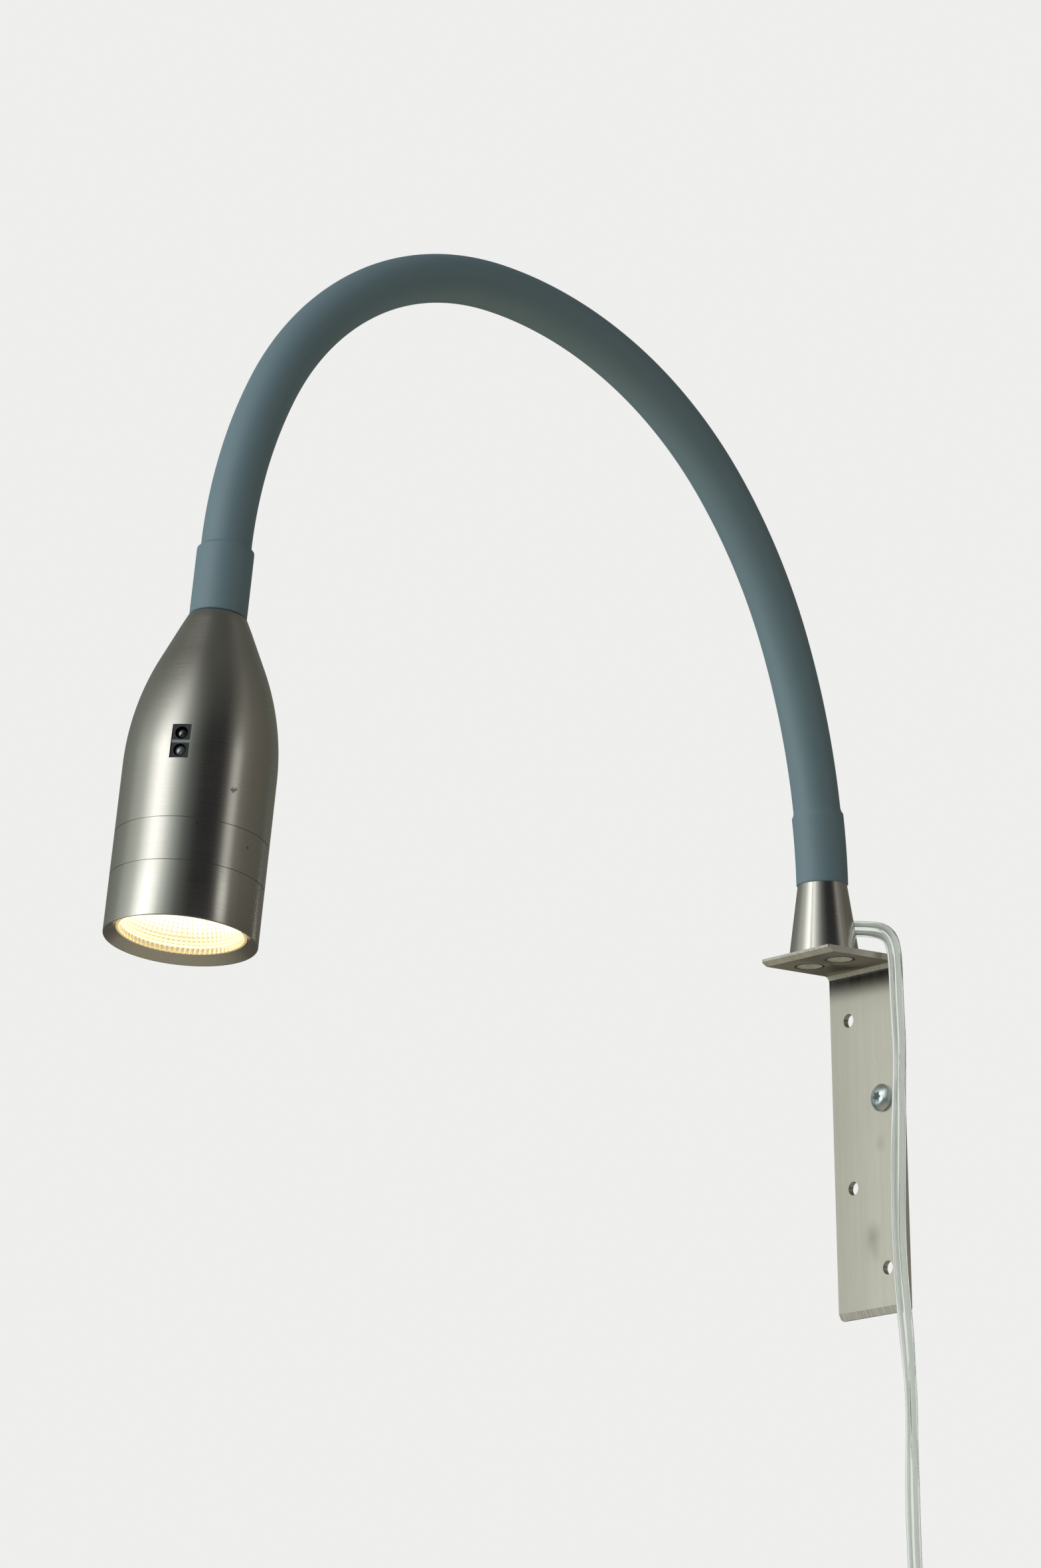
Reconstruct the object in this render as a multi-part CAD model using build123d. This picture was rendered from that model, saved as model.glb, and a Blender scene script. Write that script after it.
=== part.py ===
"""Gooseneck wall sconce: L bracket, turned cone, bendable neck, bullet head and supply cord.

Millimetres. +Z is up, +X runs along the wall to the right, and the wall lies in the plane y = 0.
The origin is the middle of the bracket plate's back, and the lamp reaches out towards -Y.
"""
from build123d import *
import math
import os

# Bracket: a flat strip bent to an L, its flange on top.
bracket_width = 30.0
bracket_height = 110.0
flange_depth = 31.0
strip_thickness = 2.0
bend_radius = 2.0
bevel_depth = 1.2
bevel_height = 2.2
plate_corner_radius = 0.8

# Holes for the wall screws, staggered in two columns, with one screw driven in the second hole.
wall_hole_count = 4
wall_hole_diameter = 4.3
wall_hole_pitch = 26.3
first_hole_drop = 15.1
hole_column_offset = 7.0
used_hole = 1
wall_screw_diameter = 3.9
wall_screw_length = 9.0
wall_screw_point = 1.5
wall_screw_head_diameter = 8.5
wall_screw_head_height = 2.7
drive_lobes = 6
drive_circle_radius = 1.25
drive_lobe_radius = 0.5
drive_depth = 1.6

# Turned cone on the flange, held from below by two countersunk screws.
cone_base_diameter = 21.7
cone_top_diameter = 15.3
cone_height = 22.3
cone_from_front = 12.6
cone_bore_diameter = 8.0
flange_screw_spacing = 13.4
flange_screw_diameter = 4.0
flange_screw_length = 6.0
flange_screw_head_diameter = 7.0
countersink_diameter = 7.9
hex_socket_width = 2.5
hex_socket_depth = 1.3
screw_clearance = 0.05
tapped_hole_runout = 0.7

# Neck: a bendable metal core in a smooth sleeve, with a ferrule crimped on each end.
sleeve_diameter = 14.6
sleeve_bore_diameter = 12.4
core_diameter = 12.2
core_bore_diameter = 8.8
base_sleeve_diameter = 16.0
tail_sleeve_diameter = 16.6
base_ferrule_diameter = 13.7
tail_ferrule_diameter = 14.3
ferrule_fit = 0.05
base_ferrule_length = 22.5
tail_ferrule_length = 21.5
sleeve_lead = 3.0
sleeve_shoulder = 1.0
ferrule_seat_depth = 9.5
wire_diameter = 2.0
wire_spacing = 2.3
wire_clearance = 0.05

# Line of the neck: turns in degrees of the bend at the cone and of the seven equal lengths after it.
neck_length_each = 52.3
base_turn = 6.5
neck_turns = [13.6, 19.1, 24.2, 22.8, 32.9, 30.9, 20.6]
head_side_tilt = 1.2
knuckle_gap = 0.3

# Head: rear shell, middle ring and front bezel in one line.
head_diameter = 44.0
head_wall = 2.2
shell_length = 68.3
mid_ring_length = 12.75
bezel_length = 16.45
head_top_diameter = 17.2
nose_cone_length = 13.8
nose_radius = 80.0
nose_arc_length = 33.4
head_roof = 9.0
head_gap = 0.4
joint_bevel = 0.15
spigot_length = 6.0
spigot_clearance = 0.05
ferrule_stub = 13.2
nut_across_flats = 17.0
nut_height = 3.5
ring_wall = 2.0
ring_lip_height = 1.5
ring_lip_width = 2.5

# Light engine inside the middle ring and the bezel.
heat_sink_thickness = 5.6
heat_sink_setback = 2.0
heat_sink_fins = 7
fin_thickness = 1.2
fin_length = 8.0
fin_pitch = 4.4
rail_length = 16.0
rail_width = 2.8
rail_height = 5.0
board_slot_clearance = 0.05
led_board_radius = 11.5
led_board_thickness = 1.6
led_chip_radius = 4.5
led_chip_height = 0.8
board_screw_offset = 8.6
board_screw_diameter = 2.4
board_screw_head_diameter = 4.2
board_screw_head_height = 1.5
board_screw_length = 4.5
rim_edge = 0.4
recess_depth = 2.3
recess_bore_radius = 18.6
reflector_clearance = 0.1
reflector_lobes = 72
reflector_lobe_depth = 0.35
reflector_wall = 1.0
reflector_neck_radius = 5.2
reflector_neck_length = 3.2
reflector_rim_height = 1.6
reflector_mouth_radius = 17.3
seat_clearance = 0.05

# Driver board and its parts.
driver_width = 26.0
driver_length = 32.0
driver_thickness = 1.6
driver_to_sink = 10.3
driver_offset = 2.0
terminal_size = (8.0, 5.0, 8.0)
terminal_start = 6.0
choke_radius = 4.5
choke_height = 5.0
choke_place = (7.0, 20.5)
capacitor_radius = 3.0
capacitor_height = 8.0
capacitor_place = (-7.5, 20.0)
chip_size = (5.0, 1.5, 5.0)
chip_place = (0.0, 20.5)
led_lead_diameter = 1.2
led_lead_spacing = 10.0
led_lead_hole = 0.2
led_lead_overlap = 2.5

# Sensor window in the side of the shell.
sensor_angle = 36.0
sensor_above_joint = 22.6
sensor_width = 5.5
sensor_height = 10.2
sensor_fit = 0.05
sensor_face_recess = 0.35
sensor_flange_width = 8.0
sensor_flange_height = 13.0
sensor_board_depth = 3.2
sensor_cell_diameter = 3.6
sensor_cell_spacing = 5.2
sensor_bar_height = 0.9
sensor_bar_depth = 1.2
sensor_board_size = (1.0, 8.0, 15.0)
sensor_cable_diameter = 1.8
sensor_cable_bend = 2.5
sensor_cable_inset = 7.0
sensor_cable_offset = 5.4

# Supply cord, its hole in the cone, and the coil that its spare length is wound into.
cord_diameter = 4.8
cord_length = 1500.0
cord_exit_angle = 52.0
cord_exit_height = 8.7
cord_hole_diameter = 6.4
grommet_fit = 0.05
cord_start_radius = 8.0
cord_straight_radius = 12.2
cord_back_overrun = 2.4
coil_turns = 8
coil_gap = 0.5
coil_wall_gap = 0.5
splice_radius = 1.35
splice_spacing = 3.0
splice_length = 8.0
splice_lead_radius = 0.7
tie_height = 6.0
tie_thickness = 1.0
tie_gap = 0.4
plug_relief_length = 8.0
plug_width = 8.0
plug_thickness = 4.2
plug_length = 14.0
plug_corner = 1.2
pin_radius = 0.5
pin_length = 6.0
pin_spacing = 3.5

# Places that follow from the sizes above.
flange_top = bracket_height / 2
flange_under = flange_top - strip_thickness
plate_bottom = -bracket_height / 2
plate_front = -strip_thickness
cone_y = -(flange_depth - cone_from_front)
cone_top = flange_top + cone_height
sleeve_radius = sleeve_diameter / 2
cup_radius = sleeve_radius + knuckle_gap
head_radius = head_diameter / 2
head_bore_radius = head_radius - head_wall
ring_start = shell_length
bezel_start = ring_start + mid_ring_length
head_length = bezel_start + bezel_length
driver_start = ring_start - heat_sink_setback - driver_to_sink - driver_length
sensor_from_top = ring_start - sensor_above_joint
spigot_radius = head_bore_radius - spigot_clearance
ring_bore_radius = spigot_radius - ring_wall
tail_zone = tail_ferrule_length + sleeve_lead
cord_exit_z = flange_top + cord_exit_height
coil_pitch = cord_diameter + coil_gap
exit_x = math.cos(math.radians(cord_exit_angle))
exit_y = math.sin(math.radians(cord_exit_angle))


def along_exit(distance):
    """A point on the cord's line out of the cone, at a distance from the cone's axis."""
    return (distance * exit_x, cone_y + distance * exit_y, cord_exit_z)


# Cord route, chosen by hand: out of the cone, over the flange's right edge and down in front of the plate.
coil_front_y = -(cord_diameter / 2 + coil_wall_gap) - coil_pitch
cord_route = [
    along_exit(cord_start_radius),
    along_exit(cord_straight_radius),
    (11.4, -7.3, 62.9),
    (15.0, -7.5, 61.7),
    (18.2, -7.9, 59.5),
    (20.1, -8.2, 56.0),
    (20.5, -8.1, 50.0),
    (20.4, -7.9, 38.0),
    (21.2, -8.0, 24.0),
    (20.2, -8.2, 7.0),
    (18.7, -8.0, -12.0),
    (18.4, -8.2, -32.0),
    (19.0, -8.1, -50.0),
    (20.9, -8.3, -67.0),
    (21.6, -8.1, -85.0),
    (21.0, -8.2, -103.0),
    (20.8, -8.3, -122.0),
    (21.2, coil_front_y, -147.0),
    (21.2, coil_front_y + 0.01, -172.0),
]


# ---------------------------------------------------------------- small helpers

def arc_end(start, length, turn):
    """Where an arc in the neck's plane ends; a place is (y, z, heading), with heading 0 straight up."""
    y, z, heading = start
    angle = math.radians(turn)
    if abs(angle) < 1e-9:
        return (y - length * math.sin(heading), z + length * math.cos(heading), heading)
    radius = length / angle
    centre_y = y - radius * math.cos(heading)
    centre_z = z - radius * math.sin(heading)
    ahead = heading + angle
    return (centre_y + radius * math.cos(ahead), centre_z + radius * math.sin(ahead), ahead)


def place_at(spot):
    """Location at a place on the neck's line, with its local Z along the line."""
    y, z, heading = spot
    return Pos(0, y, z) * Rot(math.degrees(heading), 0, 0)


def bent_bar(profile, start, length, turn):
    """The profile carried along an arc in the neck's plane."""
    section = place_at(start) * profile
    if abs(turn) < 1e-9:
        return extrude(section, length)
    y, z, heading = start
    radius = length / math.radians(turn)
    centre = (0, y - radius * math.cos(heading), z - radius * math.sin(heading))
    return revolve(section, Axis(centre, (1, 0, 0)), turn)


def ring(outer_radius, inner_radius):
    return Circle(outer_radius) - Circle(inner_radius)


def tube(outer_radius, inner_radius, low, high):
    """A round tube about Z between two heights."""
    return Pos(0, 0, low) * extrude(ring(outer_radius, inner_radius), high - low)


def rod(radius, low, high):
    return Pos(0, 0, low) * extrude(Circle(radius), high - low)


def turned(points):
    """A solid of revolution about Z from the corners of its half section, given as (radius, height)."""
    outline = Plane.XZ * make_face(Polyline(*points, close=True))
    return revolve(outline, Axis.Z, 360)


# ---------------------------------------------------------------- places on the neck's line

neck_root = (cone_y, cone_top, 0.0)
base_ferrule_end = arc_end(neck_root, base_ferrule_length, base_turn)
knuckles = [arc_end(base_ferrule_end, sleeve_lead, 0)]
for each_turn in neck_turns:
    knuckles.append(arc_end(knuckles[-1], neck_length_each, each_turn))
head_place = place_at(knuckles[-1]) * Rot(0, head_side_tilt, 0) * Pos(0, 0, tail_zone)


# ---------------------------------------------------------------- bracket

def wall_hole_place(index):
    side = -1 if index % 2 == 0 else 1
    return (side * hole_column_offset, flange_under - first_hole_drop - index * wall_hole_pitch)


def bar_through_plate(radius, x, z):
    return Pos(x, 0, z) * Rot(90, 0, 0) * Cylinder(radius, 6 * strip_thickness)


def strip_outline():
    """Side view of the bent strip, with ground bevels at both free ends."""
    outer_bend = bend_radius + strip_thickness
    corners = make_face(
        Polyline(
            (0, flange_top),
            (0, plate_bottom),
            (plate_front + bevel_depth, plate_bottom),
            (plate_front, plate_bottom + bevel_height),
            (plate_front, flange_under),
            (-flange_depth + bevel_height, flange_under),
            (-flange_depth, flange_under + bevel_depth),
            (-flange_depth, flange_top),
            close=True,
        )
    )
    inside = corners.vertices().sort_by_distance((plate_front, flange_under))[0]
    rounded = fillet(inside, bend_radius)
    outside = rounded.vertices().sort_by_distance((0, flange_top))[0]
    return fillet(outside, outer_bend)


def rounded_end(length):
    """Rectangle of the strip's width with two rounded corners at its lower end, which lies on y = 0."""
    plain = Pos(0, length / 2) * Rectangle(bracket_width, length)
    low = plain.vertices().group_by(Axis.Y)[0]
    return fillet(low, plate_corner_radius)


def countersink(x):
    top_radius = flange_screw_diameter / 2 + screw_clearance
    reach = countersink_diameter / 2 - top_radius
    cone = Pos(x, cone_y, flange_under + reach / 2) * Cone(countersink_diameter / 2, top_radius, reach)
    shaft = Pos(x, cone_y, flange_under) * Cylinder(top_radius, 3 * strip_thickness)
    return cone + shaft


def wall_bracket():
    strip = extrude(Plane.YZ * strip_outline(), bracket_width / 2, both=True)
    front_view = Pos(0, 0, plate_bottom) * Rot(90, 0, 0) * rounded_end(2 * bracket_height)
    top_view = Pos(0, -flange_depth, 0) * rounded_end(2 * flange_depth)
    strip = strip & extrude(front_view, 2 * flange_depth, both=True)
    strip = strip & extrude(top_view, bracket_height, both=True)
    for index in range(wall_hole_count):
        x, z = wall_hole_place(index)
        strip = strip - bar_through_plate(wall_hole_diameter / 2, x, z)
    for side in (-1, 1):
        strip = strip - countersink(side * flange_screw_spacing / 2)
    return strip


def wall_screw():
    """Pan-head wood screw with a six-lobed recess, driven home in its hole."""
    x, z = wall_hole_place(used_hole)
    head_radius_here = wall_screw_head_diameter / 2
    dome_start = wall_screw_head_height * 0.35
    profile = make_face(
        Polyline((0, 0), (head_radius_here, 0), (head_radius_here, dome_start))
        + ThreePointArc(
            (head_radius_here, dome_start),
            (head_radius_here * 0.62, wall_screw_head_height * 0.86),
            (0, wall_screw_head_height),
        )
        + Line((0, wall_screw_head_height), (0, 0))
    )
    head = revolve(Plane.XZ * profile, Axis.Z, 360)
    recess = Circle(drive_circle_radius)
    for index in range(drive_lobes):
        turn = 360 / drive_lobes * index
        recess = recess + Rot(0, 0, turn) * Pos(drive_circle_radius, 0) * Circle(drive_lobe_radius)
    head = head - Pos(0, 0, wall_screw_head_height - drive_depth) * extrude(recess, 2 * drive_depth)
    radius = wall_screw_diameter / 2
    straight = wall_screw_length - wall_screw_point
    shank = rod(radius, -straight, 0)
    point = Pos(0, 0, -straight - wall_screw_point / 2) * Cone(0.2, radius, wall_screw_point)
    return Pos(x, plate_front, z) * Rot(90, 0, 0) * (head + shank + point)


def flange_screw():
    """Countersunk socket screw, standing on its head at z = 0."""
    head_radius_here = flange_screw_head_diameter / 2
    radius = flange_screw_diameter / 2
    screw = turned([
        (0, 0),
        (head_radius_here, 0),
        (radius, head_radius_here - radius),
        (radius, flange_screw_length),
        (0, flange_screw_length),
    ])
    corner_radius = hex_socket_width / math.sqrt(3)
    return screw - extrude(RegularPolygon(corner_radius, 6), hex_socket_depth)


def flange_screws():
    sunk = (countersink_diameter - flange_screw_head_diameter) / 2
    base = flange_under + sunk - screw_clearance
    left = Pos(-flange_screw_spacing / 2, cone_y, base) * flange_screw()
    right = Pos(flange_screw_spacing / 2, cone_y, base) * flange_screw()
    return Compound(children=[left, right])


# ---------------------------------------------------------------- cone

def cone_blank():
    middle = flange_top + cone_height / 2
    return Pos(0, cone_y, middle) * Cone(cone_base_diameter / 2, cone_top_diameter / 2, cone_height)


def cord_bore(radius):
    """Round bar along the cord's way out of the cone, from inside the bore to past the cone."""
    reach = cone_base_diameter
    turn = Rot(0, 0, cord_exit_angle) * Rot(0, 90, 0)
    return Pos(0, cone_y, cord_exit_z) * turn * rod(radius, 0, reach)


def base_cone():
    body = cone_blank()
    body = body - Pos(0, cone_y, 0) * rod(cone_bore_diameter / 2, flange_top, cone_top)
    seat = base_ferrule_diameter / 2 + ferrule_fit
    body = body - Pos(0, cone_y, 0) * rod(seat, cone_top - ferrule_seat_depth, cone_top)
    sunk = (countersink_diameter - flange_screw_head_diameter) / 2
    screw_tip = flange_under + sunk + flange_screw_length
    hole_radius = flange_screw_diameter / 2 + screw_clearance
    for side in (-1, 1):
        x = side * flange_screw_spacing / 2
        body = body - Pos(x, cone_y, 0) * rod(hole_radius, flange_top, screw_tip + tapped_hole_runout)
    return body - cord_bore(cord_hole_diameter / 2)


def cord_grommet():
    outer = cord_hole_diameter / 2 - grommet_fit
    inner = cord_diameter / 2 + grommet_fit
    bush = (cord_bore(outer) - cord_bore(inner)) & cone_blank()
    return bush - Pos(0, cone_y, 0) * rod(cone_bore_diameter / 2, flange_top, cone_top)


# ---------------------------------------------------------------- neck

def nose(profile, spot):
    """Rounded end past a knuckle, part of a ball about the knuckle."""
    ball = place_at(spot) * Sphere(sleeve_radius)
    return extrude(place_at(spot) * profile, sleeve_radius) & ball


def cup(spot):
    return place_at(spot) * Sphere(cup_radius)


def neck_length(profile, index):
    """One length of the neck between two knuckles, with a cup at its near end and a nose at its far end."""
    start = knuckles[index]
    body = bent_bar(profile, start, neck_length_each, neck_turns[index])
    return body + nose(profile, knuckles[index + 1]) - cup(start)


def core_ring():
    return ring(core_diameter / 2, core_bore_diameter / 2)


def neck_sleeve(index):
    return neck_length(ring(sleeve_radius, sleeve_bore_diameter / 2), index)


def neck_core(index):
    return neck_length(core_ring(), index)


def neck_wires(index):
    left, right = (neck_length(half, index) for half in wire_halves())
    return Compound(children=[left, right])


def wire_halves():
    radius = wire_diameter / 2
    return (Pos(-wire_spacing / 2, 0) * Circle(radius), Pos(wire_spacing / 2, 0) * Circle(radius))


def base_lead(profile):
    """Straight end of a piece at the cone, from the ferrule's end to its nose past the first knuckle."""
    return extrude(place_at(base_ferrule_end) * profile, sleeve_lead) + nose(profile, knuckles[0])


def neck_sleeve_base():
    """Sleeve over the ferrule at the cone, stepping down to the neck's own size."""
    wide_radius = base_sleeve_diameter / 2
    bore_radius = sleeve_bore_diameter / 2
    wide_ring = ring(wide_radius, base_ferrule_diameter / 2 + ferrule_fit)
    wide = bent_bar(wide_ring, neck_root, base_ferrule_length, base_turn)
    shoulder = turned([
        (bore_radius, 0),
        (wide_radius, 0),
        (sleeve_radius, sleeve_shoulder),
        (bore_radius, sleeve_shoulder),
    ])
    return wide + place_at(base_ferrule_end) * shoulder + base_lead(ring(sleeve_radius, bore_radius))


def neck_ferrule_base():
    profile = ring(base_ferrule_diameter / 2, core_diameter / 2 + ferrule_fit)
    bent = bent_bar(profile, neck_root, base_ferrule_length, base_turn)
    seat = place_at((cone_y, cone_top - ferrule_seat_depth, 0.0))
    return bent + extrude(seat * profile, ferrule_seat_depth)


def neck_core_base():
    seat = place_at((cone_y, cone_top - ferrule_seat_depth, 0.0))
    straight = extrude(seat * core_ring(), ferrule_seat_depth)
    bend = bent_bar(core_ring(), neck_root, base_ferrule_length, base_turn)
    return straight + bend + base_lead(core_ring())


def splice_base_z():
    return cone_top - ferrule_seat_depth + wire_clearance


def neck_wires_base():
    start = splice_base_z() + splice_length + wire_clearance
    pieces = []
    for half in wire_halves():
        straight = extrude(place_at((cone_y, start, 0.0)) * half, cone_top - start)
        pieces.append(straight + bent_bar(half, neck_root, base_ferrule_length, base_turn) + base_lead(half))
    return Compound(children=pieces)


def wire_splices():
    """Crimps that join the cord's two cores to the neck's wires."""
    cord_top = cord_exit_z + cord_diameter / 2 + wire_clearance
    pieces = []
    for side in (-1, 1):
        reach = side * splice_spacing / 2
        spot = Pos(reach * exit_x, cone_y + reach * exit_y, 0)
        crimp = rod(splice_radius, splice_base_z(), splice_base_z() + splice_length)
        lead = rod(splice_lead_radius, cord_top, splice_base_z())
        pieces.append(spot * (crimp + lead))
    return Compound(children=pieces)


def tail_start():
    """Height of the last knuckle in the head's own frame, whose origin is the top of the head."""
    return -tail_zone


def head_cup():
    return Pos(0, 0, tail_start()) * Sphere(cup_radius)


def neck_sleeve_tail():
    """Sleeve over the ferrule at the head, stepping up from the neck's own size."""
    step = -tail_ferrule_length
    wide_radius = tail_sleeve_diameter / 2
    outside = turned([
        (0, tail_start()),
        (sleeve_radius, tail_start()),
        (sleeve_radius, step),
        (wide_radius, step + sleeve_shoulder),
        (wide_radius, -head_gap),
        (0, -head_gap),
    ])
    outside = outside - rod(sleeve_bore_diameter / 2, tail_start(), 0)
    outside = outside - rod(tail_ferrule_diameter / 2 + ferrule_fit, step, 0)
    return outside - head_cup()


def neck_ferrule_tail():
    outer, inner = tail_ferrule_diameter / 2, core_diameter / 2 + ferrule_fit
    return tube(outer, inner, -tail_ferrule_length, ferrule_stub) - head_cup()


def neck_core_tail():
    return tube(core_diameter / 2, core_bore_diameter / 2, tail_start(), ferrule_stub) - head_cup()


def neck_wires_tail():
    """Wires of the neck, on through the head to the terminal block."""
    high = driver_start + terminal_start - wire_clearance
    pieces = []
    for half in wire_halves():
        pieces.append(Pos(0, 0, tail_start()) * extrude(half, high - tail_start()) - head_cup())
    return Compound(children=pieces)


# ---------------------------------------------------------------- head, built along its own Z from its top

def shell_profile(inset):
    """Outline of the rear shell from its top edge down, moved in by a wall thickness."""
    arc_start = nose_cone_length
    arc_end_z = arc_start + nose_arc_length
    radius = nose_radius - inset
    centre = head_radius - nose_radius
    lean = math.asin(nose_arc_length / nose_radius)
    mid = lean / 2
    start_point = (centre + radius * math.cos(lean), arc_end_z - radius * math.sin(lean))
    mid_point = (centre + radius * math.cos(mid), arc_end_z - radius * math.sin(mid))
    end_point = (head_radius - inset, arc_end_z)
    return start_point, mid_point, end_point


def head_blank(inset, low, top_radius, high):
    """Bullet shape from a flat top of the given radius to a flat end."""
    start_point, mid_point, end_point = shell_profile(inset)
    outline = (
        Polyline((0, low), (top_radius, low), start_point)
        + ThreePointArc(start_point, mid_point, end_point)
        + Polyline(end_point, (head_radius - inset, high), (0, high), (0, low))
    )
    return revolve(Plane.XZ * make_face(outline), Axis.Z, 360)


def roof_radius():
    """Inner radius of the shell under its roof, from the slope of its outer cone."""
    (end_radius, end_z), _, _ = shell_profile(0)
    slope = (end_radius - head_top_diameter / 2) / end_z
    return head_top_diameter / 2 + slope * head_roof - head_wall


def sensor_place():
    return Rot(0, 0, 90 - sensor_angle) * Pos(0, 0, sensor_from_top)


def head_shell():
    outside = head_blank(0, 0, head_top_diameter / 2, shell_length)
    outer_edge = outside.edges().group_by(Axis.Z)[-1]
    outside = chamfer(outer_edge, joint_bevel)
    inside = head_blank(head_wall, head_roof, roof_radius(), shell_length + 1)
    shell = outside - inside - rod(tail_ferrule_diameter / 2 + ferrule_fit, -1, head_roof + 1)
    window = sensor_place() * Pos(head_radius, 0, 0) * Box(
        2 * head_wall + 2, sensor_width, sensor_height
    )
    return shell - window


def ferrule_nut():
    outline = RegularPolygon(nut_across_flats / 2, 6, major_radius=False)
    body = Pos(0, 0, head_roof) * extrude(outline, nut_height)
    return body - rod(tail_ferrule_diameter / 2 + ferrule_fit, 0, 2 * head_roof)


def mid_ring():
    low, high = ring_start, bezel_start
    body = turned([
        (0, low),
        (head_radius - joint_bevel, low),
        (head_radius, low + joint_bevel),
        (head_radius, high - joint_bevel),
        (head_radius - joint_bevel, high),
        (0, high),
    ])
    body = body + rod(spigot_radius, low - spigot_length, high + spigot_length)
    lip_low = heat_sink_front()
    body = body - rod(ring_bore_radius, low - spigot_length, lip_low)
    body = body - rod(ring_bore_radius, lip_low + ring_lip_height, high + spigot_length)
    return body - rod(ring_bore_radius - ring_lip_width, lip_low, high)


def heat_sink_back():
    return ring_start - heat_sink_setback


def heat_sink_front():
    return heat_sink_back() + heat_sink_thickness


def heat_sink():
    """Disc with fins on its back, and two rails that hold the driver board by its edges."""
    front, back = heat_sink_front(), heat_sink_back()
    radius = ring_bore_radius - spigot_clearance
    sink = rod(radius, back, front)
    for index in range(heat_sink_fins):
        x = (index - (heat_sink_fins - 1) / 2) * fin_pitch
        fin = Pos(x, 0, back - fin_length / 2) * Box(fin_thickness, 2 * radius, fin_length)
        sink = sink + (fin & rod(radius, back - fin_length, back))
    for side in (-1, 1):
        x = side * driver_width / 2
        rail = Box(rail_width, rail_height, rail_length)
        sink = sink + Pos(x, -driver_offset, back - rail_length / 2) * rail
    slot_end = driver_start + driver_length + board_slot_clearance
    slot = Box(
        driver_width + 2 * board_slot_clearance, driver_thickness + 2 * board_slot_clearance, slot_end
    )
    sink = sink - Pos(0, -driver_offset, slot_end / 2) * slot
    lead_hole = (led_lead_diameter + led_lead_hole) / 2
    screw_hole = board_screw_diameter / 2 + screw_clearance
    screw_end = front + led_board_thickness - board_screw_length - screw_clearance
    for side in (-1, 1):
        hole = rod(lead_hole, back - fin_length, front)
        sink = sink - Pos(side * led_lead_spacing / 2, led_lead_y(), 0) * hole
        sink = sink - Pos(0, side * board_screw_offset, 0) * rod(screw_hole, screw_end, front)
    return sink


def led_lead_y():
    """The leads lie on the driver board's upper face."""
    return driver_top() + led_lead_diameter / 2


def driver_top():
    return -driver_offset + driver_thickness / 2


def led_board():
    low = heat_sink_front()
    board = rod(led_board_radius, low, low + led_board_thickness)
    for side in (-1, 1):
        screw_hole = board_screw_diameter / 2 + screw_clearance
        board = board - Pos(0, side * board_screw_offset, 0) * rod(screw_hole, low, low + led_board_thickness)
        lead_hole = (led_lead_diameter + led_lead_hole) / 2
        board = board - Pos(side * led_lead_spacing / 2, led_lead_y(), 0) * rod(
            lead_hole, low, low + led_board_thickness
        )
    return board


def led_face():
    return heat_sink_front() + led_board_thickness


def led_chip():
    return rod(led_chip_radius, led_face(), led_face() + led_chip_height)


def board_screws():
    pieces = []
    for side in (-1, 1):
        shank = rod(board_screw_diameter / 2, led_face() - board_screw_length, led_face())
        head = rod(board_screw_head_diameter / 2, led_face(), led_face() + board_screw_head_height)
        slot_size = board_screw_head_height / 2
        slot = Pos(0, 0, led_face() + board_screw_head_height) * Box(
            slot_size / 2, board_screw_head_diameter, slot_size
        )
        pieces.append(Pos(0, side * board_screw_offset, 0) * (shank + head - slot))
    return Compound(children=pieces)


def front_bezel():
    """Front sleeve of the head, with a thin rim and a funnel inside it down to the reflector."""
    low, high = bezel_start, head_length
    body = turned([
        (0, low),
        (head_radius - joint_bevel, low),
        (head_radius, low + joint_bevel),
        (head_radius, high - joint_bevel),
        (head_radius - joint_bevel, high),
        (0, high),
    ])
    body = body - turned([
        (0, high - recess_depth),
        (recess_bore_radius, high - recess_depth),
        (head_radius - rim_edge, high),
        (0, high),
    ])
    body = body - rod(recess_bore_radius, low, high)
    return body - rod(head_bore_radius, low, low + spigot_length + seat_clearance)


def lobed_rim(radius):
    """Outline of the reflector's rim: one shallow arc for each column of facets."""
    arcs = []
    step = 2 * math.pi / reflector_lobes
    low = radius - reflector_lobe_depth

    def point(distance, angle):
        return (distance * math.cos(angle), distance * math.sin(angle))

    for index in range(reflector_lobes):
        angle = index * step
        middle = point(radius, angle + step / 2)
        arcs.append(ThreePointArc(point(low, angle), middle, point(low, angle + step)))
    return make_face(Wire(arcs))


def reflector():
    """Cup over the light source, narrow at its neck and ending in a lobed rim at the bezel's funnel."""
    low = led_face() + seat_clearance
    high = head_length - recess_depth
    rim_low = high - reflector_rim_height
    neck_top = low + reflector_neck_length
    neck = reflector_neck_radius
    mouth = reflector_mouth_radius
    bulge = (neck + 0.66 * (mouth - neck), neck_top + 0.4 * (rim_low - neck_top))
    inner = (
        Polyline((0, low), (neck, low), (neck, neck_top))
        + ThreePointArc((neck, neck_top), bulge, (mouth, rim_low))
        + Polyline((mouth, rim_low), (mouth, high), (0, high), (0, low))
    )
    wall = reflector_wall
    bulge_out = (bulge[0] + 0.75 * wall, bulge[1] - 0.65 * wall)
    outer = (
        Polyline((0, low), (neck + wall, low), (neck + wall, neck_top - wall / 2))
        + ThreePointArc((neck + wall, neck_top - wall / 2), bulge_out, (mouth + wall * 0.8, rim_low))
        + Polyline((mouth + wall * 0.8, rim_low), (0, rim_low), (0, low))
    )
    cup_outside = revolve(Plane.XZ * make_face(outer), Axis.Z, 360)
    cup_inside = revolve(Plane.XZ * make_face(inner), Axis.Z, 360)
    outline = lobed_rim(recess_bore_radius - reflector_clearance)
    rim = Pos(0, 0, rim_low) * extrude(outline, reflector_rim_height)
    return cup_outside + rim - cup_inside


# ---------------------------------------------------------------- driver and sensor

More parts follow.
